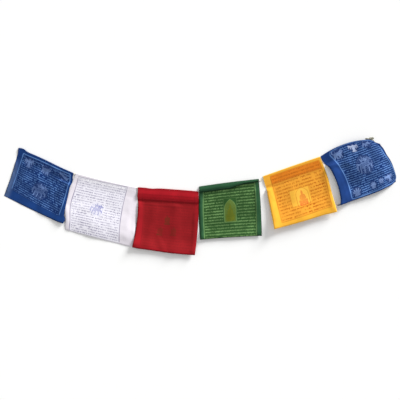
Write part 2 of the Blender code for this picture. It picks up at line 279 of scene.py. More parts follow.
def plan(flag, across, down):
    """The place on the table: a Coons blend of the four edges, which adds the two pairs of opposite
    edges and takes the corners away once. Each tug then adds its move times a bell curve."""
    width, height = flat_size(flag)
    tl, tr, br, bl = (np.array(p) for p in (flag.top_left, flag.top_right, flag.bottom_right, flag.bottom_left))
    top = edge(tl, tr, flag.bow_top, across)
    bottom = edge(bl, br, -flag.bow_bottom, across)
    left = edge(tl, bl, -flag.bow_left, down)
    right = edge(tr, br, flag.bow_right, down)
    u, v = across[..., None], down[..., None]
    corners = (1 - u) * (1 - v) * tl + u * (1 - v) * tr + u * v * br + (1 - u) * v * bl
    place = (1 - v) * top + v * bottom + (1 - u) * left + u * right - corners
    for tug in TUGS:
        if tug.flag == flag.name:
            far = np.hypot((across - tug.at[0]) * width, (down - tug.at[1]) * height) / tug.reach
            place = place + np.exp(-(far**2))[..., None] * np.array(tug.move)
    return place


def unevenness(x, y, cell, seed):
    """A smooth random height: random values on a lattice of cells, blended with smooth() both ways."""
    lattice = np.random.default_rng(seed).uniform(-1.0, 1.0, (64, 64))
    x, y = x / cell + 20.0, y / cell + 20.0
    i, j = np.floor(x).astype(int) % 63, np.floor(y).astype(int) % 63
    s, t = smooth(x - np.floor(x)), smooth(y - np.floor(y))
    low = lattice[i, j] * (1 - s) + lattice[i + 1, j] * s
    high = lattice[i, j + 1] * (1 - s) + lattice[i + 1, j + 1] * s
    return low * (1 - t) + high * t


def to_edge(flag, across, depth):
    """Distance to the nearest of the two side edges and the bottom edge, on the flat cloth."""
    width, height = flat_size(flag)
    return np.minimum(np.minimum(across, 1.0 - across) * width, height - depth)


def relief(flag, across, down):
    """The height of folds and creases: each adds height times exp(-(distance / half width)²). The sum
    less SINK goes through softness log(1 + exp(x / softness)), so that low parts come to rest."""
    width, height = flat_size(flag)
    size = np.array([width, height])
    point = np.stack([across, down], axis=-1) * size
    total = np.zeros(across.shape)
    for fold in FOLDS + CREASES:
        if fold.flag == flag.name:
            start, end = np.array(fold.start) * size, np.array(fold.end) * size
            along = end - start
            share = np.clip(((point - start) @ along) / (along @ along), 0.0, 1.0)
            far = np.linalg.norm(point - start - share[..., None] * along, axis=-1)
            total += fold.height * np.exp(-((far / fold.half_width) ** 2))
    for number, (cell, swing) in enumerate(WAVES):
        seed = 10 * FLAGS.index(flag) + number
        total += swing * unevenness(point[..., 0], point[..., 1], cell, seed)
    total -= CURL * (1.0 - smooth(to_edge(flag, across, down * height) / CURL_WIDTH))
    fade = smooth((down * height - across_flag(flag.band, across)) / FADE + 0.3)
    return SOFTNESS * np.log1p(np.exp((total - SINK) / SOFTNESS)) * fade


def crown(flag, across, down):
    """How far the whole flag is bowed up: it rises from the left edge and rolls off at the right."""
    rise = smooth(across / 0.5)
    roll_off = 1.0 - smooth((across - CREST_START) / (1.0 - CREST_START))
    return flag.crown * rise * roll_off * (0.7 + 0.3 * np.sin(np.pi * np.clip(down, 0.0, 1.0)))


blue = FLAGS[0]
width, height = flat_size(blue)
print(f"first flag lies {width:.0f} x {height:.0f} mm")

# %% [markdown]
# ## The turned casing
# At its top the cloth goes round the string and comes back as a hem. A cross section therefore starts
# at the hem's raw edge, runs to the string, goes half round it, and comes back over the hem before it
# meets the table. One flag has its casing turned to the front, so its hem lies on top. Carrying this
# section across the flag gives the whole cloth as one grid, with the casing as part of it.

# %% The section, and the middle of the cloth
COLUMNS = 150
HEM_ROWS = 12
LOOP_ROWS = 13
BAND_ROWS = 34
BODY_ROWS = 110
CREST = 0.54  # where a puffed casing is highest, from the string to the seam
SAG = 1.6  # 1 is a tent with straight sides, and more sags
OVER_BULGE = 2.7  # how far the casing that is turned to the front bulges
FAR = 60.0  # a distance that counts as nowhere near
Sheet = namedtuple("Sheet", "middle across depth front doubled hemmed")


def front_layer(flag, hem, band, depth):
    """The layer over a back casing: a tent from the loop's top to the table, but never lower than one
    stack over the hem. The puff swells to CREST and falls off to the hem as a quarter of an ellipse."""
    share = np.clip((depth - LOOP_RADIUS) / (hem - LOOP_RADIUS), 0.0, 1.0)
    beyond = np.clip((share - CREST) / (1.0 - CREST), 0.0, 1.0)
    puff = flag.puff * np.where(share < CREST, smooth(share / CREST), np.sqrt(1.0 - beyond**2))
    tent = 2 * LOOP_RADIUS * (1.0 - np.clip((depth - LOOP_RADIUS) / (band - LOOP_RADIUS), 0.0, 1.0)) ** SAG
    stack = STACK * (1.0 - smooth((depth - hem) / (band - hem)))
    return np.maximum(tent, stack) + puff


def section(flag, across):
    """Depth below the top edge, height of the layer, and 1 on the front or 0 on the turned part, each
    as rows along the section and columns across the flag."""
    hem, band = across_flag(flag.hem, across), across_flag(flag.band, across)
    height = flat_size(flag)[1]
    one = np.ones_like(across)
    hem_depth = np.linspace(hem, LOOP_RADIUS * one, HEM_ROWS)
    angle = np.linspace(-np.pi / 2, np.pi / 2, LOOP_ROWS)[1:, None]
    loop_depth = LOOP_RADIUS * (1.0 - np.cos(angle)) * one
    loop_height = LOOP_RADIUS * (1.0 + np.sin(angle)) * one
    band_depth = np.linspace(LOOP_RADIUS * one, band, BAND_ROWS)[1:]
    body_depth = np.linspace(band, height * one, BODY_ROWS)[1:]
    if flag.over:
        hem_height = 2 * LOOP_RADIUS + OVER_BULGE * np.sin(np.pi * (hem - hem_depth) / (hem - LOOP_RADIUS))
        loop_height = 2 * LOOP_RADIUS - loop_height
        band_height = np.zeros(band_depth.shape)
    else:
        hem_height = np.zeros(hem_depth.shape)
        band_height = front_layer(flag, hem, band, band_depth)
    depth = np.concatenate([hem_depth, loop_depth, band_depth, body_depth])
    layer = np.concatenate([hem_height, loop_height, band_height, np.zeros(body_depth.shape)])
    front = np.zeros(depth.shape)
    front[HEM_ROWS + LOOP_ROWS // 2 :] = 1.0
    return depth, layer, front


def lay_cloth(flag):
    """The middle of the cloth as a grid of points. The loop keeps its radius where a tug narrows the
    cloth: above the string's depth it goes straight back from there."""
    height = flat_size(flag)[1]
    across = (1.0 - np.cos(np.linspace(0.0, np.pi, COLUMNS))) / 2.0
    across = 0.3 * across + 0.7 * np.linspace(0.0, 1.0, COLUMNS)
    depth, layer, front = section(flag, across)
    across = np.broadcast_to(across, depth.shape)
    down = np.maximum(depth, LOOP_RADIUS) / height
    place = plan(flag, across, down)
    ahead = plan(flag, across, down + 1.0 / height) - place
    ahead /= np.linalg.norm(ahead, axis=-1, keepdims=True)
    place = place + ahead * np.minimum(depth - LOOP_RADIUS, 0.0)[..., None]
    z = COTTON / 2 + layer + relief(flag, across, down) + crown(flag, across, down)
    # where the cloth lies double, which the material marks with a painted tone
    doubled = 1.0 - smooth((depth - across_flag(flag.hem, across)) / 3.0 + 0.5)
    # mask of a painted edge tone along the cut edges, the hem's raw edge and the fold at the top: painted shade on
    # most flags, lighter on the yellow one
    raw_edge = np.where(front > 0.5, depth + 0.4, across_flag(flag.hem, across) - depth)
    hemmed = 1.0 - smooth((np.minimum(to_edge(flag, across, depth), raw_edge) - 0.7) / 1.4)
    return Sheet(np.concatenate([place, z[..., None]], axis=-1), across, depth, front, doubled, hemmed)


sheets = {flag.name: lay_cloth(flag) for flag in FLAGS}
rows, columns = sheets["blue_flag_left"].across.shape
print("each flag is a grid of", rows, "x", columns, "points")

# %% [markdown]
# ## From a grid to a closed sheet
# Solidify could thicken the grid, but building both faces here keeps the printed face and the back
# apart, so that the ink can be weaker behind. Each point moves half a thickness along the grid's
# normal, both ways, and a rim joins the two faces. What the print needs is kept on the points: the
# place on the flat cloth, the place in the printed panel, and the distance to the printed figures.

# %% A closed sheet with its maps and attributes


def normals(points):
    """Unit normals of a grid: the cross product of its two central differences."""
    down_step, across_step = np.gradient(points, axis=(0, 1))
    normal = np.cross(down_step, across_step)
    return normal / np.linalg.norm(normal, axis=-1, keepdims=True)


def sheet_faces(rows, columns):
    """Quads of the upper grid, of the lower grid turned over, and of the rim between them."""
    upper = np.arange(rows * columns).reshape(rows, columns)
    lower = upper + rows * columns
    a, b, c, d = (g.ravel() for g in (upper[:-1, :-1], upper[1:, :-1], upper[1:, 1:], upper[:-1, 1:]))
    top = np.stack([a, b, c, d], axis=1)
    a, b, c, d = (g.ravel() for g in (lower[:-1, :-1], lower[1:, :-1], lower[1:, 1:], lower[:-1, 1:]))
    under = np.stack([d, c, b, a], axis=1)
    rim = np.concatenate([upper[0, :-1], upper[:-1, -1], upper[-1, :0:-1], upper[:0:-1, 0]])
    below = rim + rows * columns
    side = np.stack([rim, np.roll(rim, -1), np.roll(below, -1), below], axis=1)
    return np.concatenate([top, under, side])


def in_metres(points):
    """Points in millimetres, as the rows place them, in metres from the origin."""
    return (points - np.array([*CENTRE, 0.0])) * MM


def mesh_piece(name, points, faces, maps=(), values=()):
    """A mesh object at the origin, from points in millimetres and a list of faces. maps are (name,
    pairs) for UV maps and values are (name, numbers) for attributes, each with one entry a point."""
    mesh = bpy.data.meshes.new(name)
    mesh.from_pydata(in_metres(points).tolist(), [], faces)
    corner = np.zeros(len(mesh.loops), dtype=np.int32)
    mesh.loops.foreach_get("vertex_index", corner)
    for map_name, pairs in maps:
        layer = mesh.uv_layers.new(name=map_name)
        layer.uv.foreach_set("vector", pairs[corner].astype(np.float32).ravel())
    for value_name, numbers in values:
        attribute = mesh.attributes.new(value_name, "FLOAT", "POINT")
        attribute.data.foreach_set("value", numbers.astype(np.float32))
    mesh.shade_smooth()
    mesh.set_sharp_from_angle(angle=np.radians(50))
    piece = bpy.data.objects.new(name, mesh)
    scene.collection.objects.link(piece)
    return piece


print("a flag has", len(sheet_faces(rows, columns)) * 2, "triangles")

# %% [markdown]
# ## The printed panel
# Each flag carries one printed panel: a thin frame, rows of prayers, and figures. The panel isn't
# quite square to the cloth, so its four sides are given where they lie on the flat cloth, each at
# three places, and a parabola runs through them. A point's place in the panel is then measured from
# the left side and from the top side, and printed rows follow the frame as they do on a real block.

# %% Where the panels lie on the flat cloth
Panel = namedtuple(
    "Panel", "flag left right top bottom size pitch rounding top_line bottom_line second_line straighten tilt"
)
PANELS = [
    Panel("blue_flag_left", (14.0, 11.6, 11.2), (137.0, 138.4, 129.6), (7.6, 6.4, 5.3), (98.1, 103.5, 108.0),
          (124.0, 97.0), 4.9, 2.0, 1.0, 0.0, 0.9, 0.0, 0.0),
    Panel("white_flag", (7.7, 11.4, 8.6), (132.3, 119.0, 120.6), (6.4, 4.9, 3.3), (140.5, 139.0, 137.5),
          (114.0, 134.0), 5.7, 2.0, 0.8, 0.0, 0.0, 0.0, 0.0),
    Panel("red_flag", (10.0, 13.5, 18.0), (133.0, 137.0, 141.0), (7.0, 7.0, 7.0), (138.0, 138.5, 139.0),
          (124.0, 131.0), 6.3, 2.0, 0.0, 0.0, 0.0, 0.0, 0.0),
    Panel("green_flag", (10.2, 10.6, 10.5), (131.6, 131.4, 130.0), (2.0, 2.0, 2.0), (134.0, 134.0, 134.0),
          (121.0, 132.0), 6.8, 2.0, 0.0, 0.0, 0.0, 0.0, 0.0),
    Panel("yellow_flag", (16.4, 18.4, 20.6), (140.9, 139.6, 137.8), (5.4, 5.8, 6.6), (119.2, 117.0, 114.6),
          (121.0, 112.0), 7.5, 2.0, 0.6, 0.7, 0.0, 0.0, 0.0),
    Panel("blue_flag_right", (15.4, 24.6, 27.2), (136.0, 142.4, 146.0), (5.2, 1.4, 3.6), (112.5, 112.5, 111.5),
          (117.0, 108.0), 4.9, 6.0, 0.5, 0.8, 0.0, 13.0, 14.0),
]


def bent(values, share):
    """The parabola through three values at the shares 0, 1/2 and 1."""
    a, b, c = values
    return a + (4 * b - 3 * a - c) * share + 2 * (a + c - 2 * b) * share**2


def in_panel(panel, flag, x, depth):
    """Place in the panel, in millimetres from its left and top sides: the share of the way between
    opposite sides, times the panel's size."""
    width, height = flat_size(flag)
    left, right = bent(panel.left, depth / height), bent(panel.right, depth / height)
    top, bottom = bent(panel.top, x / width), bent(panel.bottom, x / width)
    return (x - left) / (right - left) * panel.size[0], (depth - top) / (bottom - top) * panel.size[1]


def row_depth(panel, p, q):
    """Depth that counts rows. Near the top of a bowed flag the rows don't follow the edge: straighten
    takes its bow away, tilt turns them, and both fade towards the bottom."""
    share, left_over = p / panel.size[0], 1.0 - q / panel.size[1]
    bow = 4.0 * share * (1.0 - share) * panel.straighten * left_over
    return q - bow + panel.tilt * (share - 0.5) * (0.4 + 0.6 * left_over)


for panel in PANELS:
    print(panel.flag, "panel", panel.size, "mm,", round(panel.size[1] / panel.pitch), "rows")

# %% [markdown]
# ## The printed figures
# The block cutter's figures are a running horse with three jewels, a seated sage in an arch, and small
# beasts and flowers at the corners, all traditional. Here they are my own simple ones, built of
# tapered strokes, as a brush would. A stroke's distance is the distance to its line less its radius.
# The smallest distance over all strokes is kept on the points, and the material inks what is below
# zero: the edge stays sharp however coarse the grid is.

# %% Figures as tapered strokes, in shares of the figure's width
Stroke = namedtuple("Stroke", "x0 y0 x1 y1 r0 r1")
HORSE = [
    Stroke(-0.17, 0.02, 0.12, 0.02, 0.100, 0.105),
    Stroke(0.12, 0.04, 0.20, 0.12, 0.100, 0.070),
    Stroke(0.19, 0.10, 0.29, 0.27, 0.070, 0.048),
    Stroke(0.29, 0.28, 0.42, 0.19, 0.050, 0.026),
    Stroke(0.27, 0.31, 0.27, 0.39, 0.022, 0.006),
    Stroke(0.12, 0.13, 0.19, 0.33, 0.034, 0.010),
    Stroke(0.17, -0.03, 0.34, -0.05, 0.050, 0.030),
    Stroke(0.34, -0.05, 0.33, -0.20, 0.026, 0.022),
    Stroke(0.11, -0.06, 0.15, -0.21, 0.048, 0.028),
    Stroke(0.15, -0.21, 0.10, -0.35, 0.025, 0.024),
    Stroke(-0.20, -0.02, -0.30, -0.15, 0.074, 0.034),
    Stroke(-0.30, -0.15, -0.34, -0.33, 0.028, 0.024),
    Stroke(-0.14, -0.05, -0.10, -0.20, 0.056, 0.030),
    Stroke(-0.10, -0.20, -0.16, -0.36, 0.026, 0.022),
    Stroke(-0.26, 0.07, -0.38, 0.11, 0.030, 0.042),
    Stroke(-0.38, 0.11, -0.46, -0.06, 0.042, 0.036),
    Stroke(-0.46, -0.06, -0.43, -0.22, 0.036, 0.008),
    Stroke(-0.01, 0.26, -0.01, 0.28, 0.058, 0.058),
    Stroke(-0.01, 0.33, 0.01, 0.46, 0.040, 0.006),
    Stroke(-0.11, 0.20, -0.16, 0.36, 0.042, 0.006),
    Stroke(0.08, 0.20, 0.11, 0.36, 0.038, 0.006),
]
SAGE = [
    Stroke(0.00, 0.34, 0.00, 0.35, 0.095, 0.095),
    Stroke(0.00, 0.46, 0.00, 0.54, 0.045, 0.012),
    Stroke(0.00, 0.20, 0.00, -0.10, 0.100, 0.130),
    Stroke(-0.15, 0.14, 0.15, 0.14, 0.060, 0.060),
    Stroke(-0.19, 0.11, -0.24, -0.08, 0.046, 0.042),
    Stroke(0.19, 0.11, 0.24, -0.08, 0.046, 0.042),
    Stroke(-0.24, -0.08, -0.04, -0.14, 0.040, 0.036),
    Stroke(0.24, -0.08, 0.04, -0.14, 0.040, 0.036),
    Stroke(-0.32, -0.26, 0.12, -0.30, 0.085, 0.070),
    Stroke(0.32, -0.26, -0.12, -0.30, 0.085, 0.070),
    Stroke(-0.36, -0.42, 0.36, -0.42, 0.035, 0.035),
    Stroke(-0.32, -0.50, -0.22, -0.56, 0.050, 0.030),
    Stroke(-0.11, -0.52, -0.05, -0.58, 0.050, 0.030),
    Stroke(0.11, -0.52, 0.05, -0.58, 0.050, 0.030),
    Stroke(0.32, -0.50, 0.22, -0.56, 0.050, 0.030),
]
JEWEL = [
    Stroke(0.00, -0.12, 0.00, -0.10, 0.300, 0.300),
    Stroke(0.00, 0.10, 0.03, 0.52, 0.180, 0.020),
    Stroke(-0.20, 0.02, -0.30, 0.34, 0.120, 0.020),
    Stroke(0.20, 0.02, 0.30, 0.36, 0.120, 0.020),
    Stroke(-0.34, -0.42, 0.34, -0.42, 0.070, 0.070),
]
BIRD = [
    Stroke(0.00, -0.16, 0.00, 0.12, 0.130, 0.100),
    Stroke(0.00, 0.22, 0.02, 0.26, 0.080, 0.070),
    Stroke(0.06, 0.26, 0.14, 0.22, 0.040, 0.012),
    Stroke(-0.10, 0.10, -0.40, 0.26, 0.100, 0.050),
    Stroke(-0.40, 0.26, -0.46, -0.04, 0.060, 0.020),
    Stroke(-0.26, 0.16, -0.28, -0.12, 0.070, 0.020),
    Stroke(0.10, 0.10, 0.40, 0.26, 0.100, 0.050),
    Stroke(0.40, 0.26, 0.46, -0.04, 0.060, 0.020),
    Stroke(0.26, 0.16, 0.28, -0.12, 0.070, 0.020),
    Stroke(0.00, -0.20, -0.18, -0.42, 0.070, 0.040),
    Stroke(0.00, -0.20, 0.18, -0.42, 0.070, 0.040),
    Stroke(0.00, -0.20, 0.00, -0.46, 0.070, 0.040),
]
BEAST = [
    Stroke(-0.22, 0.02, 0.18, 0.06, 0.140, 0.150),
    Stroke(0.26, 0.16, 0.36, 0.18, 0.120, 0.100),
    Stroke(0.30, 0.28, 0.31, 0.34, 0.030, 0.012),
    Stroke(0.40, 0.26, 0.42, 0.32, 0.030, 0.012),
    Stroke(0.20, -0.04, 0.30, -0.30, 0.070, 0.040),
    Stroke(0.08, -0.06, 0.10, -0.32, 0.070, 0.040),
    Stroke(-0.18, -0.06, -0.14, -0.32, 0.070, 0.040),
    Stroke(-0.30, -0.04, -0.36, -0.30, 0.070, 0.040),
    Stroke(-0.34, 0.08, -0.46, 0.24, 0.050, 0.030),
    Stroke(-0.46, 0.24, -0.38, 0.38, 0.040, 0.020),
]
DRAGON = [
    Stroke(-0.46, -0.16, -0.28, 0.12, 0.040, 0.080),
    Stroke(-0.28, 0.12, -0.06, -0.06, 0.080, 0.100),
    Stroke(-0.06, -0.06, 0.16, 0.12, 0.100, 0.090),
    Stroke(0.16, 0.12, 0.36, 0.06, 0.090, 0.080),
    Stroke(0.38, 0.08, 0.48, 0.02, 0.060, 0.020),
    Stroke(0.34, 0.14, 0.26, 0.30, 0.030, 0.008),
    Stroke(-0.16, -0.08, -0.22, -0.24, 0.040, 0.016),
    Stroke(0.06, 0.00, 0.04, -0.20, 0.040, 0.016),
    Stroke(0.26, 0.04, 0.30, -0.14, 0.040, 0.016),
]
LOTUS = [
    Stroke(0.00, -0.10, 0.00, 0.34, 0.130, 0.030),
    Stroke(-0.06, -0.12, -0.26, 0.26, 0.110, 0.030),
    Stroke(0.06, -0.12, 0.26, 0.26, 0.110, 0.030),
    Stroke(-0.10, -0.16, -0.42, 0.06, 0.100, 0.030),
    Stroke(0.10, -0.16, 0.42, 0.06, 0.100, 0.030),
    Stroke(-0.24, -0.32, 0.24, -0.32, 0.060, 0.060),
]
STREAK = [Stroke(-0.46, 0.14, 0.46, -0.10, 0.070, 0.130)]


def figure_distance(strokes, size, x, y):
    """Distance in millimetres to the nearest stroke: to its line, less the radius there."""
    nearest = np.full(x.shape, 1e3)
    for stroke in strokes:
        x0, y0, x1, y1, r0, r1 = (value * size for value in stroke)
        along_x, along_y = x1 - x0, y1 - y0
        share = ((x - x0) * along_x + (y - y0) * along_y) / (along_x**2 + along_y**2)
        share = np.clip(share, 0.0, 1.0)
        far = np.hypot(x - x0 - share * along_x, y - y0 - share * along_y)
        nearest = np.minimum(nearest, far - r0 - (r1 - r0) * share)
    return nearest


print("the horse has", len(HORSE), "strokes, the sage", len(SAGE))

# %% [markdown]
# ## Placing the figures
# Each row puts one figure on a flag: where its middle lies on the flat cloth, how wide it is, how much
# it is stretched upwards, and how far it is turned. An ellipse round each figure keeps the rows of
# prayers away, and small curls fill it. The sages sit in a paler box, under an arch.

# %% The figures on each flag, and the niches
Place = namedtuple("Place", "flag strokes x depth width stretch turn solid")
PLACES = [
    Place("blue_flag_left", HORSE, 76.0, 71.5, 40.0, 1.02, 2, -0.05),
    Place("blue_flag_left", BIRD, 32.5, 21.5, 23.0, 1.10, 4, 0.35),
    Place("blue_flag_left", BEAST, 76.5, 22.0, 25.0, 0.92, -4, 0.25),
    Place("blue_flag_left", STREAK, 122.0, 16.5, 21.0, 1.00, -6, 0.5),
    Place("white_flag", HORSE, 64.6, 71.9, 30.0, 1.14, 0, 0.3),
    Place("red_flag", JEWEL, 71.2, 71.5, 17.0, 1.15, 3, 0.15),
    Place("red_flag", JEWEL, 56.7, 97.6, 17.0, 1.15, -2, 0.15),
    Place("red_flag", JEWEL, 88.0, 95.5, 18.0, 1.00, 0, 0.15),
    Place("green_flag", SAGE, 71.3, 70.0, 23.0, 1.45, 0, 0.1),
    Place("yellow_flag", SAGE, 79.7, 75.5, 26.0, 1.20, 0, 0.55),
    Place("blue_flag_right", HORSE, 79.3, 53.3, 44.0, 0.98, 5, -0.05),
    Place("blue_flag_right", BEAST, 32.3, 15.0, 26.0, 0.95, -6, 0.5),
    Place("blue_flag_right", BIRD, 71.1, 13.0, 23.0, 0.85, -4, 0.86),
    Place("blue_flag_right", DRAGON, 103.2, 10.5, 22.0, 0.90, 6, 0.5),
    Place("blue_flag_right", LOTUS, 42.3, 101.2, 23.0, 0.90, 3, 0.5),
    Place("blue_flag_right", LOTUS, 84.8, 98.8, 16.0, 1.15, 0, 0.5),
    Place("blue_flag_right", LOTUS, 105.5, 95.5, 15.0, 1.00, 0, 0.2),
    Place("blue_flag_right", BIRD, 126.5, 94.7, 21.0, 1.05, 12, 0.6),
]
Niche = namedtuple("Niche", "flag x depth half_width half_height")
BOXES = [
    Niche("green_flag", 71.3, 65.0, 14.5, 28.3),
    Niche("yellow_flag", 75.2, 72.6, 23.0, 18.5),
]
ARCHES = [
    Niche("green_flag", 71.3, 66.0, 13.2, 26.5),
    Niche("yellow_flag", 79.7, 72.5, 14.5, 20.5),
]
SPRING = 0.1  # the arch begins this share of the half height above the niche's middle


def figures_on(flag, x, depth):
    """Distances to the nearest figure of the flag and to the nearest ellipse round one, and how solid
    the nearest figure is: each point is moved, turned and squeezed into the figure's own place first."""
    nearest, clearing, solid = np.full(x.shape, FAR), np.full(x.shape, FAR), np.zeros(x.shape)
    for place in PLACES:
        if place.flag == flag.name:
            turn = np.radians(place.turn)
            right, up = x - place.x, place.depth - depth
            own_x = right * np.cos(turn) + up * np.sin(turn)
            own_y = (up * np.cos(turn) - right * np.sin(turn)) / place.stretch
            far = figure_distance(place.strokes, place.width, own_x, own_y)
            solid = np.where(far < nearest, place.solid, solid)
            nearest = np.minimum(nearest, far)
            clearing = np.minimum(clearing, np.hypot(own_x, own_y) - place.width * 0.47)
    return nearest, clearing, solid


def box_on(flag, x, depth):
    """Distance to the box behind a sage, negative inside it."""
    for box in BOXES:
        if box.flag == flag.name:
            return np.maximum(np.abs(x - box.x) - box.half_width, np.abs(depth - box.depth) - box.half_height)
    return np.full(x.shape, FAR)


def arch_on(flag, x, depth):
    """Distance to the arch, negative inside: above the spring line the half width shrinks by the
    factor 1 - s^2.6, with s the share of the way to the top, which gives a lightly pointed arch."""
    for arch in ARCHES:
        if arch.flag == flag.name:
            up = (arch.depth - depth) / arch.half_height
            s = np.clip((up - SPRING) / (1.0 - SPRING), 0.0, 1.3)
            aside = np.abs(x - arch.x) - arch.half_width * (1.0 - s**2.6)
            return np.maximum(aside, (np.abs(up) - 1.0) * arch.half_height)
    return np.full(x.shape, FAR)


print(len(PLACES), "figures and", len(ARCHES), "arches")

# %% [markdown]
# ## Making the six flags
# The pieces are made now, with both faces of the cloth. The lowest points are kept on the table, as
# the table would keep them. Each flag was cut to its width and to the length of its whole section, from
# the hem's raw edge to the bottom; that length is printed.

# %% The flags


def cut_length(sheet):
    """Mean length of the section, from the hem's raw edge to the bottom edge."""
    steps = np.linalg.norm(np.diff(sheet.middle, axis=0), axis=-1)
    return steps.sum(axis=0).mean()


def make_flag(flag, panel):
    """The closed sheet of one flag, with its maps and attributes."""
    sheet = sheets[flag.name]
    half = normals(sheet.middle) * COTTON / 2
    points = np.concatenate([(sheet.middle + half).reshape(-1, 3), (sheet.middle - half).reshape(-1, 3)])
    points[:, 2] = np.maximum(points[:, 2], 0.0)
    x = sheet.across * flat_size(flag)[0]
    depth = np.where(sheet.front > 0.5, sheet.depth, -sheet.depth)
    p, q = in_panel(panel, flag, x, depth)
    figures, clearing, solid = figures_on(flag, x, depth)
    box, arch = box_on(flag, x, depth), arch_on(flag, x, depth)

    def both(*grids):
        """The grids for both faces, with one row a point."""
        flat = np.stack([g.ravel() for g in grids], axis=-1)
        return np.concatenate([flat, flat])

    face = np.repeat([1.0, 0.0], x.size)
    return mesh_piece(
        flag.name + "_cloth",
        points,
        sheet_faces(*x.shape).tolist(),
        maps=[("cloth", both(x, depth)), ("panel", both(p, q)), ("rows", both(p, row_depth(panel, p, q)))],
        values=[
            ("figure", both(figures).ravel()),
            ("solid", both(solid).ravel()),
            ("clearing", both(np.minimum(clearing, box)).ravel()),
            ("box", both(box).ravel()),
            ("arch", both(arch).ravel()),
            ("doubled", both(sheet.doubled).ravel()),
            ("hemmed", both(sheet.hemmed).ravel()),
            ("printed_face", face),
        ],
    )


flags = {}
for flag, panel in zip(FLAGS, PANELS):
    flags[flag.name] = make_flag(flag, panel)
    print(flag.name, round(cut_length(sheets[flag.name])), "mm from hem to bottom")

# %% [markdown]
# ## Shader tools
# A material is a graph of nodes. These helpers add a node, set its sockets and link it in one line, so
# that each effect below reads like its formula. Effects that several materials share are node groups,
# made once, with named inputs and outputs.

# %% Helpers for nodes and groups


def srgb(red, green, blue):
    """A colour as a screen shows it, 0 to 255, in the linear values that shaders use."""
    value = np.array([red, green, blue]) / 255.0
    linear = np.where(value <= 0.04045, value / 12.92, ((value + 0.055) / 1.055) ** 2.4)
    return (*linear.tolist(), 1.0)


class Graph:
    """A node tree that is written one node a line."""

    def __init__(self, tree):
        self.tree = tree

    def link(self, value, socket):
        """A socket is linked, and a number or colour is set."""
        if isinstance(value, bpy.types.NodeSocket):
            self.tree.links.new(value, socket)
        else:
            socket.default_value = value

    def node(self, kind, inputs, **settings):
        made = self.tree.nodes.new(kind)
        for name, value in settings.items():
            setattr(made, name, value)
        for key, value in inputs.items():
            self.link(value, made.inputs[key])
        return made

    def math(self, operation, a, b=0.0, c=0.0):
        return self.node("ShaderNodeMath", {0: a, 1: b, 2: c}, operation=operation).outputs[0]

    def ramp(self, value, low, high):
        """0 at low, 1 at high, smooth between them."""
        inputs = {"Value": value, "From Min": low, "From Max": high}
        return self.node("ShaderNodeMapRange", inputs, interpolation_type="SMOOTHSTEP").outputs["Result"]

    def band(self, value, low, high, soft):
        """1 between low and high, and 0 beyond them, over a soft border."""
        rise = self.ramp(value, low - soft, low)
        return self.math("MULTIPLY", rise, self.ramp(value, high + soft, high))

    def product(self, *factors):
        result = factors[0]
        for factor in factors[1:]:
            result = self.math("MULTIPLY", result, factor)
        return result

    def mix(self, factor, a, b):
        made = self.tree.nodes.new("ShaderNodeMix")
        made.data_type = "RGBA"
        self.link(factor, made.inputs[0])
        self.link(a, made.inputs[6])
        self.link(b, made.inputs[7])
        return made.outputs[2]

    def noise(self, x, y, scale=1.0, detail=0.0):
        """Noise at the place (x, y), near 0 to 1."""
        place = self.node("ShaderNodeCombineXYZ", {"X": x, "Y": y}).outputs[0]
        inputs = {"Vector": place, "Scale": scale, "Detail": detail}
        return self.node("ShaderNodeTexNoise", inputs, noise_dimensions="2D").outputs["Fac"]

    def split(self, vector):
        made = self.node("ShaderNodeSeparateXYZ", {0: vector})
        return made.outputs["X"], made.outputs["Y"]


def group(name, inputs, outputs):
    """An empty node group. inputs are (name, default) and outputs names of numbers."""
    tree = bpy.data.node_groups.new(name, "ShaderNodeTree")
    for socket, default in inputs:
        kind = "NodeSocketVector" if default is None else "NodeSocketFloat"
        made = tree.interface.new_socket(socket, in_out="INPUT", socket_type=kind)
        if default is not None:
            made.default_value = default
    for socket in outputs:
        tree.interface.new_socket(socket, in_out="OUTPUT", socket_type="NodeSocketFloat")
    return tree, Graph(tree), tree.nodes.new("NodeGroupInput"), tree.nodes.new("NodeGroupOutput")


print("a mid red is", [round(v, 3) for v in srgb(165, 27, 32)])

# %% [markdown]
# ## Rows of prayers
# The real rows are block-printed script. Writing isn't copied here: the rows are marks that only have
# its rhythm. Each row has a broken head line, short strokes that hang from it, and gaps between words.
# All of them come from noise that is read along the row, with another stretch of noise for each row,
# so no two rows are alike. An image could hold this, but a formula stays sharp at any distance.

# %% The group of printed rows
HEAD_LINE = (0.12, 0.40)  # where the head line lies in its row


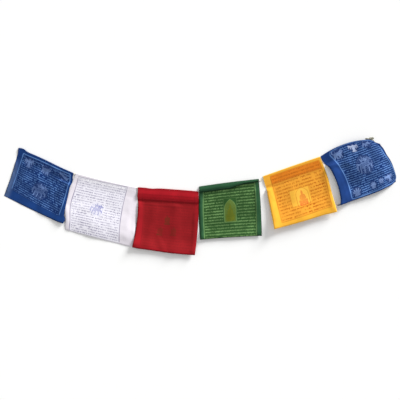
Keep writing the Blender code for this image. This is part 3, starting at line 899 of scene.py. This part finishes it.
def printed_rows():
    """Broken is how often the head line stops, and Longest how far down its row a stroke hangs."""
    inputs = [("Panel", None), ("Pitch", 6.0), ("Seed", 0.0), ("Broken", 0.0), ("Longest", 0.8)]
    tree, g, given, out = group("printed_rows", inputs, ["Ink"])
    p, q = g.split(given.outputs["Panel"])
    at = g.math("DIVIDE", q, given.outputs["Pitch"])
    row = g.math("ADD", g.math("FLOOR", at), given.outputs["Seed"])
    lane = g.math("MULTIPLY", row, 7.31)

    def along(scale, shift):
        """Noise along the row, with its own stretch for each row."""
        return g.noise(g.math("MULTIPLY", p, scale), g.math("ADD", lane, shift))

    t = g.math("MULTIPLY_ADD", g.math("SUBTRACT", along(0.30, 0.0), 0.5), 0.10, g.math("FRACT", at))
    line = g.band(t, *HEAD_LINE, 0.07)
    lowest = g.math("MULTIPLY_ADD", given.outputs["Broken"], 0.12, 0.36)
    line = g.math("MULTIPLY", line, g.ramp(along(0.75, 3.7), lowest, g.math("ADD", lowest, 0.08)))
    reach = g.math("MULTIPLY_ADD", along(0.47, 1.9), 0.8, 0.12)
    reach = g.math("MINIMUM", reach, given.outputs["Longest"])
    hanging = g.math("MULTIPLY", g.ramp(t, HEAD_LINE[0], HEAD_LINE[1]), g.ramp(t, g.math("ADD", reach, 0.08), reach))
    strokes = g.math("MULTIPLY", hanging, g.ramp(along(0.95, 5.3), 0.46, 0.53))
    fewest = g.math("MULTIPLY_ADD", given.outputs["Broken"], 0.08, 0.19)
    words = g.ramp(along(0.16, 8.8), fewest, g.math("ADD", fewest, 0.06))
    g.link(g.math("MULTIPLY", g.math("MAXIMUM", line, strokes), words), out.inputs["Ink"])
    return tree


ROWS_GROUP = printed_rows()
print("rows group:", len(ROWS_GROUP.nodes), "nodes")

# %% [markdown]
# ## The frame round the panel
# The frame is a thin printed line with rounded corners. The distance to the frame is that of a rounded
# box: with a and b the distances to the nearest upright and level side, and r the rounding, it is
# r - |(r - a, r - b)|, where only positive parts count, less the part that is deeper inside. The line
# is where the distance is near zero. It also tells the rows how far to stay inside. On one flag the
# block slipped, and the top line shows twice on the right.

# %% The group of the frame


def panel_frame():
    inputs = [("Panel", None), ("Width", 120.0), ("Height", 110.0), ("Line", 1.2), ("Rounding", 2.0)]
    inputs += [("Top", 1.0), ("Bottom", 1.0), ("Second", 0.0)]
    tree, g, given, out = group("panel_frame", inputs, ["Line", "Inside"])
    p, q = g.split(given.outputs["Panel"])
    rounding = given.outputs["Rounding"]
    from_bottom = g.math("SUBTRACT", given.outputs["Height"], q)
    a = g.math("SUBTRACT", rounding, g.math("MINIMUM", p, g.math("SUBTRACT", given.outputs["Width"], p)))
    b = g.math("SUBTRACT", rounding, g.math("MINIMUM", q, from_bottom))
    a_out, b_out = g.math("MAXIMUM", a, 0.0), g.math("MAXIMUM", b, 0.0)
    corner = g.math("SQRT", g.math("MULTIPLY_ADD", a_out, a_out, g.math("MULTIPLY", b_out, b_out)))
    deeper = g.math("MINIMUM", g.math("MAXIMUM", a, b), 0.0)
    inside = g.math("SUBTRACT", g.math("SUBTRACT", rounding, corner), deeper)
    half = g.math("MULTIPLY", given.outputs["Line"], 0.5)
    line = g.ramp(g.math("ABSOLUTE", inside), g.math("ADD", half, 0.35), g.math("SUBTRACT", half, 0.25))
    keep_top = g.math("MAXIMUM", given.outputs["Top"], g.ramp(q, 2.0, 6.0))
    keep_bottom = g.math("MAXIMUM", given.outputs["Bottom"], g.ramp(from_bottom, 2.0, 6.0))
    frame_line = g.product(line, keep_top, keep_bottom)
    half_way = g.math("MULTIPLY", given.outputs["Width"], 0.5)
    second = g.product(g.band(q, 4.4, 5.8, 0.6), g.ramp(p, half_way, given.outputs["Width"]), g.ramp(inside, 0.0, 2.0))
    second = g.math("MULTIPLY", second, given.outputs["Second"])
    g.link(g.math("MAXIMUM", frame_line, second), out.inputs["Line"])
    g.link(inside, out.inputs["Inside"])
    return tree


FRAME_GROUP = panel_frame()
print("frame group:", len(FRAME_GROUP.nodes), "nodes")

# %% [markdown]
# ## The weave
# The cotton is a plain weave of about two threads a millimetre. Two sines multiplied make its
# checkered height. Threads vary in thickness and in how much dye they take, so stretched noise along
# and across the cloth gives faint slubs, and a slow noise gives the cloudy look of hand-dyed cloth.

# %% The group of the weave
THREAD = 0.46  # from one thread to the next, in millimetres


def cotton_weave():
    tree, g, given, out = group("cotton_weave", [("Cloth", None), ("Seed", 0.0)], ["Height", "Slub", "Cloud"])
    x, y = g.split(given.outputs["Cloth"])
    x = g.math("MULTIPLY_ADD", given.outputs["Seed"], 31.0, x)
    warp = g.math("SINE", g.math("MULTIPLY", x, np.pi / THREAD))
    weft = g.math("SINE", g.math("MULTIPLY", y, np.pi / THREAD))
    along = g.noise(g.math("MULTIPLY", x, 0.03), g.math("MULTIPLY", y, 1.1), detail=1.0)
    across = g.noise(g.math("MULTIPLY", x, 1.1), g.math("MULTIPLY", y, 0.03), detail=1.0)
    slub = g.math("ADD", along, across)
    height = g.math("MULTIPLY_ADD", g.math("MULTIPLY", warp, weft), 0.25, g.math("MULTIPLY", slub, 0.5))
    g.link(height, out.inputs["Height"])
    g.link(g.math("MULTIPLY", slub, 0.5), out.inputs["Slub"])
    g.link(g.noise(x, y, scale=0.035, detail=3.0), out.inputs["Cloud"])
    return tree


WEAVE_GROUP = cotton_weave()
print("weave group:", len(WEAVE_GROUP.nodes), "nodes")

# %% [markdown]
# ## Curls round the figures
# Between a figure and its ellipse, block cutters leave no bare ground: they fill it with clouds and
# curls. The places where a slow noise passes through its middle value are long winding lines, which
# serve as curls. The group also gives a lattice of crossed lines, which fills one arch.

# %% The group of curls and lattice
LATTICE = 3.0  # from one line of the lattice to the next, in millimetres


def curls_and_lattice():
    tree, g, given, out = group("curls_and_lattice", [("Panel", None), ("Seed", 0.0)], ["Curls", "Lattice"])
    p, q = g.split(given.outputs["Panel"])
    shifted = g.math("MULTIPLY_ADD", given.outputs["Seed"], 53.0, p)
    noise = g.noise(g.math("MULTIPLY", shifted, 0.34), g.math("MULTIPLY", q, 0.34), detail=1.0)
    g.link(g.ramp(g.math("ABSOLUTE", g.math("SUBTRACT", noise, 0.5)), 0.060, 0.030), out.inputs["Curls"])
    rising, falling = g.math("ADD", p, q), g.math("SUBTRACT", p, q)
    lines = [g.math("ABSOLUTE", g.math("SINE", g.math("MULTIPLY", way, np.pi / LATTICE))) for way in (rising, falling)]
    g.link(g.ramp(g.math("MINIMUM", *lines), 0.45, 0.20), out.inputs["Lattice"])
    return tree


CURLS_GROUP = curls_and_lattice()
print("curls group:", len(CURLS_GROUP.nodes), "nodes")

# %% [markdown]
# ## Dyed and printed cotton
# One function makes the material of every flag from a row of colours: the plain margin, the ground of
# the panel, the ink, the figures, the box and the arch, and a painted tone where the cloth lies double.
# Thin cotton on a white table glows a little, and a second layer takes that away, so that tone is
# painted shade on most flags, and lighter on the white and red ones. A painted edge tone runs along the
# cut edges, the hem's raw edge and the fold over the string: painted shade, but lighter on the yellow
# flag. The first blue flag has a painted highlight along its left margin. The print wears thin in places,
# and on the back it is fainter, because the ink only partly soaks through.

# %% Colours of the six flags
# Two colours of each row are painted light and shade, not dye: the tone where the cloth lies double, and the rim along
# the edges. One number says how strongly both are painted, and another paints a highlight along a margin.
Dye = namedtuple(
    "Dye",
    "flag margin ground ink figure box arch deep rim layers bare faded rows line_width line figures "
    "lattice wear lower mottle broken longest",
)
BRIGHTEST = (214, 222, 240)  # the ink where it lies thickest, on a figure that is wholly solid
DYES = [
    Dye(
        "blue_flag_left",
        margin=(24, 58, 116), ground=(16, 44, 98), ink=(100, 142, 200), figure=(118, 146, 198),
        box=(14, 42, 98), arch=(14, 42, 98), deep=(8, 32, 86), rim=(6, 23, 62),
        layers=0.50, bare=0.4, faded=0.6, rows=0.74, line_width=1.9, line=0.85, figures=0.80,
        lattice=0.0, wear=0.30, lower=0.0, mottle=0.8, broken=1.0, longest=0.80,
    ),
    Dye(
        "white_flag",
        margin=(230, 224, 232), ground=(233, 231, 240), ink=(116, 110, 142), figure=(62, 74, 168),
        box=(233, 231, 240), arch=(233, 231, 240), deep=(250, 249, 253), rim=(224, 220, 228),
        layers=0.60, bare=0.4, faded=0.0, rows=0.74, line_width=1.9, line=0.78, figures=0.80,
        lattice=0.0, wear=0.30, lower=0.10, mottle=0.08, broken=0.7, longest=0.80,
    ),
    Dye(
        "red_flag",
        margin=(148, 22, 30), ground=(143, 25, 30), ink=(92, 18, 22), figure=(74, 46, 20),
        box=(143, 25, 30), arch=(143, 25, 30), deep=(164, 13, 30), rim=(111, 7, 19),
        layers=0.60, bare=0.4, faded=0.0, rows=0.34, line_width=1.6, line=0.30, figures=0.75,
        lattice=0.0, wear=0.50, lower=0.0, mottle=0.4, broken=0.6, longest=0.80,
    ),
    Dye(
        "green_flag",
        margin=(44, 84, 54), ground=(44, 78, 38), ink=(118, 156, 96), figure=(120, 122, 28),
        box=(44, 80, 38), arch=(82, 100, 33), deep=(20, 54, 38), rim=(14, 39, 27),
        layers=0.85, bare=0.4, faded=0.0, rows=0.74, line_width=2.2, line=0.60, figures=0.55,
        lattice=0.45, wear=0.30, lower=0.0, mottle=0.5, broken=0.0, longest=0.60,
    ),
    Dye(
        "yellow_flag",
        margin=(234, 170, 54), ground=(232, 158, 52), ink=(182, 98, 20), figure=(216, 88, 42),
        box=(243, 182, 64), arch=(244, 186, 70), deep=(212, 110, 20), rim=(242, 192, 74),
        layers=0.75, bare=0.1, faded=0.0, rows=1.00, line_width=2.3, line=0.75, figures=0.78,
        lattice=0.0, wear=0.30, lower=0.0, mottle=0.3, broken=0.6, longest=0.80,
    ),
    Dye(
        "blue_flag_right",
        margin=(28, 60, 120), ground=(14, 44, 100), ink=(106, 148, 208), figure=(128, 156, 208),
        box=(12, 42, 102), arch=(12, 42, 102), deep=(14, 44, 112), rim=(10, 32, 81),
        layers=0.50, bare=0.4, faded=0.0, rows=0.76, line_width=2.4, line=0.80, figures=0.85,
        lattice=0.0, wear=0.25, lower=0.0, mottle=0.8, broken=0.0, longest=0.64,
    ),
]


def cotton_material(dye, panel, seed):
    """The graph in words: ink is the frame line, or rows that lie inside the panel and clear of the
    figures and boxes. A painted highlight, painted tones where the cloth lies double and along its edges,
    boxes, ink and figures mix over the dyed cloth, one after the other."""
    material = bpy.data.materials.new(dye.flag + "_cotton")
    material.use_nodes = True
    g = Graph(material.node_tree)
    shader = material.node_tree.nodes["Principled BSDF"]

    def attribute(name):
        return g.node("ShaderNodeAttribute", {}, attribute_name=name).outputs["Fac"]

    cloth = g.node("ShaderNodeUVMap", {}, uv_map="cloth").outputs[0]
    place = g.node("ShaderNodeUVMap", {}, uv_map="panel").outputs[0]
    row_place = g.node("ShaderNodeUVMap", {}, uv_map="rows").outputs[0]
    rows = g.node("ShaderNodeGroup", {}, node_tree=ROWS_GROUP)
    border = g.node("ShaderNodeGroup", {}, node_tree=FRAME_GROUP)
    curls = g.node("ShaderNodeGroup", {}, node_tree=CURLS_GROUP)
    weave = g.node("ShaderNodeGroup", {}, node_tree=WEAVE_GROUP)
    settings = [
        (rows, {"Panel": row_place, "Pitch": panel.pitch, "Seed": seed * 40.0}),
        (rows, {"Broken": dye.broken, "Longest": dye.longest}),
        (border, {"Panel": place, "Width": panel.size[0], "Height": panel.size[1], "Line": dye.line_width}),
        (border, {"Rounding": panel.rounding, "Top": panel.top_line, "Bottom": panel.bottom_line}),
        (border, {"Second": panel.second_line}),
        (curls, {"Panel": place, "Seed": float(seed)}),
        (weave, {"Cloth": cloth, "Seed": float(seed)}),
    ]
    for made, values in settings:
        for name, value in values.items():
            g.link(value, made.inputs[name])

    inside = border.outputs["Inside"]
    figure, clearing = attribute("figure"), attribute("clearing")
    cloud = weave.outputs["Cloud"]
    down = g.split(place)[1]
    worn = g.math("MULTIPLY", g.ramp(cloud, 0.62, 0.38), dye.wear)
    heavier = g.math("MULTIPLY", g.ramp(down, panel.size[1] * 0.3, panel.size[1]), dye.lower)
    coverage = g.math("ADD", g.math("SUBTRACT", 1.0, worn), heavier)
    soaked = g.math("MULTIPLY", coverage, g.ramp(attribute("printed_face"), -1.0, 1.0))
    row_ink = g.product(rows.outputs["Ink"], g.ramp(inside, 1.8, 2.6), g.ramp(clearing, 0.6, 1.4), dye.rows)
    line_ink = g.math("MULTIPLY", border.outputs["Line"], dye.line)
    free = g.product(g.ramp(clearing, 0.4, -0.4), g.ramp(figure, 0.7, 1.3), g.ramp(attribute("box"), -0.4, 0.4))
    curl_ink = g.product(curls.outputs["Curls"], free, dye.figures * 0.6)
    outline = g.ramp(g.math("ABSOLUTE", attribute("arch")), 0.95, 0.45)
    box_line = g.math("MULTIPLY", g.ramp(g.math("ABSOLUTE", attribute("box")), 0.75, 0.35), 0.5)
    niche_ink = g.math("MULTIPLY", g.math("MAXIMUM", outline, box_line), dye.line)
    in_arch = g.math("MULTIPLY", g.ramp(attribute("arch"), 0.0, -0.6), g.ramp(figure, 0.4, 1.0))
    lattice_ink = g.product(curls.outputs["Lattice"], in_arch, dye.lattice)
    x, y = g.split(cloth)
    patchy = g.ramp(g.noise(g.math("MULTIPLY", x, 0.55), g.math("MULTIPLY", y, 0.75), detail=2.0), 0.36, 0.54)
    solid = attribute("solid")
    contour = g.math("MULTIPLY", g.band(figure, -0.75, 0.25, 0.25), g.math("MULTIPLY_ADD", patchy, 0.6, 0.4))
    full = g.math("ADD", g.math("MULTIPLY_ADD", patchy, 0.5, 0.12), solid)
    filled = g.math("MULTIPLY", g.ramp(figure, 0.1, -0.3), g.math("MINIMUM", full, 1.0))
    on_figure = g.product(g.math("MAXIMUM", contour, filled), dye.figures, soaked)
    figure_colour = g.mix(g.ramp(solid, 0.6, 1.1), srgb(*dye.figure), srgb(*BRIGHTEST))
    ink = g.math("MAXIMUM", g.math("MAXIMUM", row_ink, line_ink), g.math("MAXIMUM", niche_ink, lattice_ink))

    colour = g.mix(g.ramp(inside, 0.0, 1.5), srgb(*dye.margin), srgb(*dye.ground))
    # painted highlight: a paler band along the left margin, for the light on its raised fold
    fade = g.product(g.ramp(x, 17.0, 3.0), g.ramp(y, 12.0, 60.0), dye.faded)
    colour = g.mix(fade, colour, srgb(*[0.6 * part + 76.0 for part in dye.margin]))
    # painted tone where the cloth lies double: painted shade for the glow of one layer that a second layer takes away,
    # lighter on the white and red flags, and weaker in the bare margins
    share = g.math("MULTIPLY_ADD", g.ramp(inside, -0.5, 1.0), 1.0 - dye.bare, dye.bare)
    under = g.math("MULTIPLY", attribute("doubled"), share)
    colour = g.mix(g.math("MULTIPLY", under, dye.layers), colour, srgb(*dye.deep))
    # painted edge tone (rim): painted shade along the edges, the hem's raw edge and the top fold, lighter on the
    # yellow flag
    colour = g.mix(g.math("MULTIPLY", attribute("hemmed"), dye.layers), colour, srgb(*dye.rim))
    colour = g.mix(g.ramp(attribute("box"), 0.3, -0.3), colour, srgb(*dye.box))
    colour = g.mix(g.ramp(attribute("arch"), 0.3, -0.3), colour, srgb(*dye.arch))
    colour = g.mix(g.math("MULTIPLY", ink, soaked), colour, srgb(*dye.ink))
    colour = g.mix(g.math("MULTIPLY", curl_ink, soaked), colour, srgb(*dye.figure))
    colour = g.mix(on_figure, colour, figure_colour)
    shade = g.math("MULTIPLY_ADD", cloud, dye.mottle, 1.0 - dye.mottle / 2)
    shade = g.math("MULTIPLY", shade, g.math("MULTIPLY_ADD", weave.outputs["Slub"], 0.22, 0.89))
    tone = g.node("ShaderNodeHueSaturation", {"Value": shade, "Color": colour}).outputs[0]
    g.link(tone, shader.inputs["Base Color"])
    bump = g.node("ShaderNodeBump", {"Height": weave.outputs["Height"], "Strength": 0.35, "Distance": 0.00012})
    g.link(bump.outputs[0], shader.inputs["Normal"])
    g.link(g.math("MULTIPLY_ADD", weave.outputs["Slub"], 0.16, 0.76), shader.inputs["Roughness"])
    shader.inputs["Specular IOR Level"].default_value = 0.08
    shader.inputs["Sheen Weight"].default_value = 0.03
    shader.inputs["Sheen Roughness"].default_value = 0.5
    return material


for seed, (dye, panel) in enumerate(zip(DYES, PANELS)):
    material = cotton_material(dye, panel, seed)
    flags[dye.flag].data.materials.append(material)
    print(material.name, len(material.node_tree.nodes), "nodes")

# %% [markdown]
# ## The string
# Three plies of cotton are twisted into one string about 2 mm thick. It could be three separate
# strands, but most of it is hidden in the casings, so one tube carries the twist in its outline: the
# radius rises at each ply, and the plies turn as the string goes along. The tube is a profile carried
# along the route, on a frame that never spins, because each step takes the last step's side over.

# %% The route, in millimetres
STRING_RADIUS = 0.95
STRING_STATIONS = (0.03, 0.12, 0.24, 0.36, 0.48, 0.6, 0.72, 0.84, 0.97)
STRING_START = 0.012
STRING_END = 0.965
SLACK = (141.6, 36.6, 1.2)  # the string hangs out a little between the green flag and the yellow one
TAIL = [(418.6, 122.6, 1.3), (415.0, 121.4, 1.2), (409.0, 125.0, 1.1), (404.0, 130.4, 1.3)]


def string_route():
    """The string's own points: along its place in every casing, then the free tail."""
    route = []
    for flag in FLAGS:
        across = np.array(STRING_STATIONS)
        across[0] = STRING_START if flag is FLAGS[0] else across[0]
        across[-1] = STRING_END if flag is FLAGS[-1] else across[-1]
        down = across_flag(flag.string, across) / flat_size(flag)[1]
        z = COTTON / 2 + LOOP_RADIUS + crown(flag, across, down)
        route.append(np.concatenate([plan(flag, across, down), z[:, None]], axis=1))
        if flag.name == "green_flag":
            route.append(np.array([SLACK]))
    return np.concatenate([*route, np.array(TAIL)])


def smooth_curve(route, step):
    """Points every step millimetres or so on the curve through the route: on each stretch, a cubic
    that has the slope of the chord between the neighbours."""
    ends = np.concatenate([[2 * route[0] - route[1]], route, [2 * route[-1] - route[-2]]])
    points = []
    for a, b, c, d in zip(ends[:-3], ends[1:-2], ends[2:-1], ends[3:]):
        count = max(2, int(np.ceil(np.linalg.norm(c - b) / step)))
        s = (np.arange(count) / count)[:, None]
        cubic = (2 * a - 5 * b + 4 * c - d) * s**2 + (3 * b - a - 3 * c + d) * s**3
        points.append(0.5 * (2 * b + (c - a) * s + cubic))
    return np.concatenate([*points, route[-1:]])


route = smooth_curve(string_route(), 1.1)
print("string", round(np.linalg.norm(np.diff(route, axis=0), axis=1).sum()), "mm to its knot")

# %% The twisted tube
PLY_DEPTH = 0.15
TWIST_LENGTH = 7.0  # millimetres for a full turn of the plies


def carried_frame(path):
    """Two directions square to the path at each point. Each side is the last one, with the part along
    the path taken away."""
    ahead = np.gradient(path, axis=0)
    ahead /= np.linalg.norm(ahead, axis=1, keepdims=True)
    side = np.zeros_like(path)
    side[0] = np.cross(ahead[0], (0.0, 0.0, 1.0))
    for k in range(1, len(path)):
        side[k] = side[k - 1] - ahead[k] * (side[k - 1] @ ahead[k])
        side[k] /= np.linalg.norm(side[k])
    side /= np.linalg.norm(side, axis=1, keepdims=True)
    return side, np.cross(ahead, side)


def tube(path, radius, around, plies=0, twist=TWIST_LENGTH):
    """Grid of a tube: path + radius (1 - d + d |cos(plies / 2 (angle - turn))|) (side cos + up sin)."""
    side, up = carried_frame(path)
    far = np.concatenate([[0.0], np.cumsum(np.linalg.norm(np.diff(path, axis=0), axis=1))])
    angle = np.linspace(0.0, 2 * np.pi, around, endpoint=False)[None, :]
    turned = angle - 2 * np.pi * far[:, None] / twist
    depth = PLY_DEPTH if plies else 0.0
    out = 1.0 - depth + depth * np.abs(np.cos(plies / 2 * turned)) if plies else np.ones((len(path), around))
    out = out * np.broadcast_to(radius, len(path))[:, None]
    ring = side[:, None] * np.cos(angle)[..., None] + up[:, None] * np.sin(angle)[..., None]
    grid = path[:, None] + ring * out[..., None]
    return grid, np.broadcast_to(far[:, None], out.shape), np.broadcast_to(angle, out.shape)


def tube_faces(length, around):
    """Quads round each step of a tube, and fans of triangles at its two ends."""
    index = np.arange(length * around).reshape(length, around)
    turned = np.roll(index, -1, axis=1)
    sides = np.stack([index[:-1], turned[:-1], turned[1:], index[1:]], axis=-1).reshape(-1, 4)
    return sides.tolist() + [index[0, ::-1].tolist(), index[-1].tolist()]


AROUND = 18
grid, far, angle = tube(route, STRING_RADIUS, AROUND, plies=3)
print("string grid", grid.shape)

# %% [markdown]
# ## The knot and the frayed tip
# The string's free end comes round the last flag's top corner and is tied off. A single overhand knot
# is a trefoil: a curve that winds three times round while it goes twice about its middle. Pulled
# tight it makes a lump about 6 mm across. Past it the plies come apart, so a few thin curved strands
# fan out. Knot, tip and string are one piece, because they are one string.

# %% The knot, the tip and the whole string
KNOT_CENTRE = (400.0, 134.2, 3.0)
KNOT_SIZE = 1.3
KNOT_STRING = 1.25  # the string is loose and thicker in the knot
TIP_START = (399.0, 133.6, 2.6)
TIP_STRANDS = 24
TIP_LENGTH = 13.0


def trefoil(centre, size, count=90):
    """A trefoil knot: (sin t + 2 sin 2t, cos t - 2 cos 2t, -sin 3t), flattened to fit on the table."""
    t = np.linspace(0.0, 2 * np.pi, count)
    shape = np.stack([np.sin(t) + 2 * np.sin(2 * t), np.cos(t) - 2 * np.cos(2 * t), -1.25 * np.sin(3 * t)], axis=1)
    return np.array(centre) + shape * size * np.array([1.3, 0.72, 0.7])


def joined(parts):
    """Several (grid, far, angle) tubes as one set of points, faces and a map."""
    points, faces, pairs, start = [], [], [], 0
    for grid, far, angle in parts:
        points.append(grid.reshape(-1, 3))
        pairs.append(np.stack([far.ravel(), angle.ravel()], axis=1))
        faces += [[i + start for i in face] for face in tube_faces(*grid.shape[:2])]
        start += grid.shape[0] * grid.shape[1]
    return np.concatenate(points), faces, np.concatenate(pairs)


def frayed_tip(start, strands, length):
    """Thin strands that leave one point, spread by their number and droop to the table."""
    parts = []
    random = np.random.default_rng(7)
    for k in range(strands):
        spread = (k / (strands - 1) - 0.5) * 0.7 + random.uniform(-0.08, 0.08)
        reach = length * random.uniform(0.6, 1.0)
        s = np.linspace(0.0, 1.0, 12)
        heading = np.pi + spread * s
        path = np.cumsum(np.stack([np.cos(heading), np.sin(heading), np.zeros(12)], axis=1), axis=0) * reach / 12
        path = path + np.array(start)
        path[:, 2] = start[2] * (1 - s) + 0.35 * s + 0.5 * np.sin(np.pi * s) * random.uniform(0.2, 1.0)
        parts.append(tube(path, 0.5 * (1.0 - 0.5 * s), 6))
    return parts


parts = [(grid, far, angle), tube(trefoil(KNOT_CENTRE, KNOT_SIZE), KNOT_STRING, AROUND, plies=3, twist=6.0)]
parts += frayed_tip(TIP_START, TIP_STRANDS, TIP_LENGTH)
points, faces, pairs = joined(parts)


soiled = smooth((points[:, 0] - 380.0) / 2.0) * smooth((points[:, 1] - 122.0) / 6.0)
string = mesh_piece("twisted_string", points, faces, maps=[("cloth", pairs)], values=[("soiled", soiled)])
print("string has", len(points), "points")

# %% [markdown]
# ## The string's cotton
# Undyed cotton is a warm white, and it darkens in the grooves between the plies, where dust and shade
# gather. The knot is what hands touch, so it is greyer. The map holds how far along and how far round
# a point is, so fine fibres can follow the twist.

# %% Material of the string


def string_material():
    material = bpy.data.materials.new("string_cotton")
    material.use_nodes = True
    g = Graph(material.node_tree)
    shader = material.node_tree.nodes["Principled BSDF"]
    far, round_ = g.split(g.node("ShaderNodeUVMap", {}, uv_map="cloth").outputs[0])
    lay = g.math("MULTIPLY_ADD", far, -2 * np.pi / TWIST_LENGTH, round_)
    fibres = g.noise(g.math("MULTIPLY", far, 0.5), g.math("MULTIPLY", lay, 5.0), detail=2.0)
    groove = g.math("ABSOLUTE", g.math("COSINE", g.math("MULTIPLY", lay, 1.5)))
    tone = g.math("MULTIPLY_ADD", groove, 0.5, g.math("MULTIPLY", fibres, 0.5))
    colour = g.mix(g.ramp(tone, 0.1, 0.8), srgb(178, 170, 146), srgb(240, 235, 218))
    soiled = g.node("ShaderNodeAttribute", {}, attribute_name="soiled").outputs["Fac"]
    handled = g.mix(g.ramp(tone, 0.1, 0.8), srgb(92, 94, 84), srgb(166, 164, 146))
    colour = g.mix(soiled, colour, handled)
    g.link(colour, shader.inputs["Base Color"])
    bump = g.node("ShaderNodeBump", {"Height": fibres, "Strength": 0.5, "Distance": 0.0002})
    g.link(bump.outputs[0], shader.inputs["Normal"])
    g.link(g.math("MULTIPLY_ADD", fibres, 0.15, 0.78), shader.inputs["Roughness"])
    shader.inputs["Specular IOR Level"].default_value = 0.2
    return material


string.data.materials.append(string_material())
print("string material ready")

# %% [markdown]
# ## Stitches
# A straight machine seam holds each casing, a little inside the hem's raw edge. A bump could suggest
# it, but stitches catch light of their own, so each is a short tube that rises out of the cloth and
# goes back in. One function places points on the cloth's upper face, and all stitches of a flag are
# one array.

# %% The seams
STITCH = 3.1
STITCH_GAP = 0.8
SEAM_INSET = 2.4
THREAD_RADIUS = 0.24


def upper_face(flag, across, depth):
    """A point on top of the cloth: its plan and its height, as in lay_cloth()."""
    hem, band = across_flag(flag.hem, across), across_flag(flag.band, across)
    down = depth / flat_size(flag)[1]
    if flag.over:
        layer = 2 * LOOP_RADIUS + OVER_BULGE * np.sin(np.pi * (hem - depth) / (hem - LOOP_RADIUS))
    else:
        layer = front_layer(flag, hem, band, depth)
    z = COTTON + layer + relief(flag, across, down) + crown(flag, across, down)
    return np.concatenate([plan(flag, across, down), z[..., None]], axis=-1)


def seam(flag):
    """All stitches of a flag: each follows the seam for its own stretch, and its height is a sine."""
    width = flat_size(flag)[0]
    count = int((width - 4.0) / STITCH)
    s = np.linspace(0.0, 1.0, 6)
    x = 2.0 + np.arange(count)[:, None] * STITCH + s * (STITCH - STITCH_GAP)
    across = x / width
    depth = across_flag(flag.hem, across) - SEAM_INSET
    path = upper_face(flag, across, depth)
    path[..., 2] += THREAD_RADIUS * (1.5 * np.sin(np.pi * s) - 0.9)
    return path


def make_stitches(flag):
    parts = [tube(path, THREAD_RADIUS, 6) for path in seam(flag)]
    points, faces, pairs = joined(parts)
    return mesh_piece(flag.name + "_stitches", points, faces, maps=[("cloth", pairs)])


def thread_material(dye):
    material = bpy.data.materials.new(dye.flag + "_thread")
    material.use_nodes = True
    g = Graph(material.node_tree)
    shader = material.node_tree.nodes["Principled BSDF"]
    far, round_ = g.split(g.node("ShaderNodeUVMap", {}, uv_map="cloth").outputs[0])
    lay = g.math("MULTIPLY_ADD", far, 4.0, round_)
    ply = g.math("MULTIPLY_ADD", g.math("SINE", g.math("MULTIPLY", lay, 2.0)), 0.5, 0.5)
    # painted shade in the grooves of the twist: the darker tone where the ply is low
    g.link(g.mix(ply, srgb(*dye.deep), srgb(*dye.margin)), shader.inputs["Base Color"])
    bump = g.node("ShaderNodeBump", {"Height": ply, "Strength": 0.4, "Distance": 0.0001})
    g.link(bump.outputs[0], shader.inputs["Normal"])
    g.link(g.math("MULTIPLY_ADD", ply, 0.1, 0.6), shader.inputs["Roughness"])
    return material


stitches = {}
threads = {}
for flag, dye in zip(FLAGS, DYES):
    stitches[flag.name] = make_stitches(flag)
    threads[flag.name] = thread_material(dye)
    stitches[flag.name].data.materials.append(threads[flag.name])
print(sum(len(piece.data.polygons) for piece in stitches.values()), "stitch faces")

# %% [markdown]
# ## A pulled corner
# At the last flag's lower left corner a few threads have been pulled out and twisted into a short
# dark tip. It is a tube that tapers and lies on the table.

# %% The pulled threads
TIP_POINTS = [(337.0, -16.6, 1.7), (332.0, -18.4, 1.6), (328.0, -20.2, 1.4), (324.0, -21.6, 1.1), (320.4, -21.4, 0.75)]
path = smooth_curve(np.array(TIP_POINTS), 0.5)
taper = np.linspace(1.6, 0.7, len(path))
points, faces, pairs = joined([tube(path, taper, 10, plies=2, twist=3.0)])
pulled = mesh_piece("pulled_threads", points, faces, maps=[("cloth", pairs)])
# the darker of the two tones is painted shade in the grooves of the twist
pulled_dye = DYES[-1]._replace(flag="pulled", deep=(6, 12, 40), margin=(14, 26, 64))
pulled.data.materials.append(thread_material(pulled_dye))
print("pulled threads", len(points), "points")

# %% [markdown]
# ## The table
# The photograph's ground is plain white. The table is a large plane just below the cloth, and it
# isn't part of the object.

# %% Table
TABLE_HALF = 6.0
TABLE_DROP = 0.0001


def table_material():
    material = bpy.data.materials.new("table_white")
    material.use_nodes = True
    shader = material.node_tree.nodes["Principled BSDF"]
    shader.inputs["Base Color"].default_value = (0.93, 0.93, 0.925, 1.0)
    shader.inputs["Roughness"].default_value = 0.9
    shader.inputs["Specular IOR Level"].default_value = 0.1
    return material


corners = TABLE_HALF * np.array([(-1, -1, 0), (1, -1, 0), (1, 1, 0), (-1, 1, 0)]) - np.array([0, 0, TABLE_DROP])
table_mesh = bpy.data.meshes.new("table")
table_mesh.from_pydata(corners.tolist(), [], [(0, 1, 2, 3)])
table_mesh.materials.append(table_material())
table = bpy.data.objects.new("table", table_mesh)
scene.collection.objects.link(table)
print("table", 2 * TABLE_HALF, "m wide")

# %% [markdown]
# ## Joining the looks to the frame
# Each piece rides on the one body, and the solids that the cloth and the string stand for are hidden.

# %% Ride, and hide the solids
for flag in FLAGS:
    piece = flags[flag.name]
    width = flat_size(flag)[0]
    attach(piece, "root")
    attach(stitches[flag.name], "root")
    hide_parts(flag.name)
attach(string, "root")
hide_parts("header_string")
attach(pulled, "root")

# %% The end
bpy.context.view_layer.update()
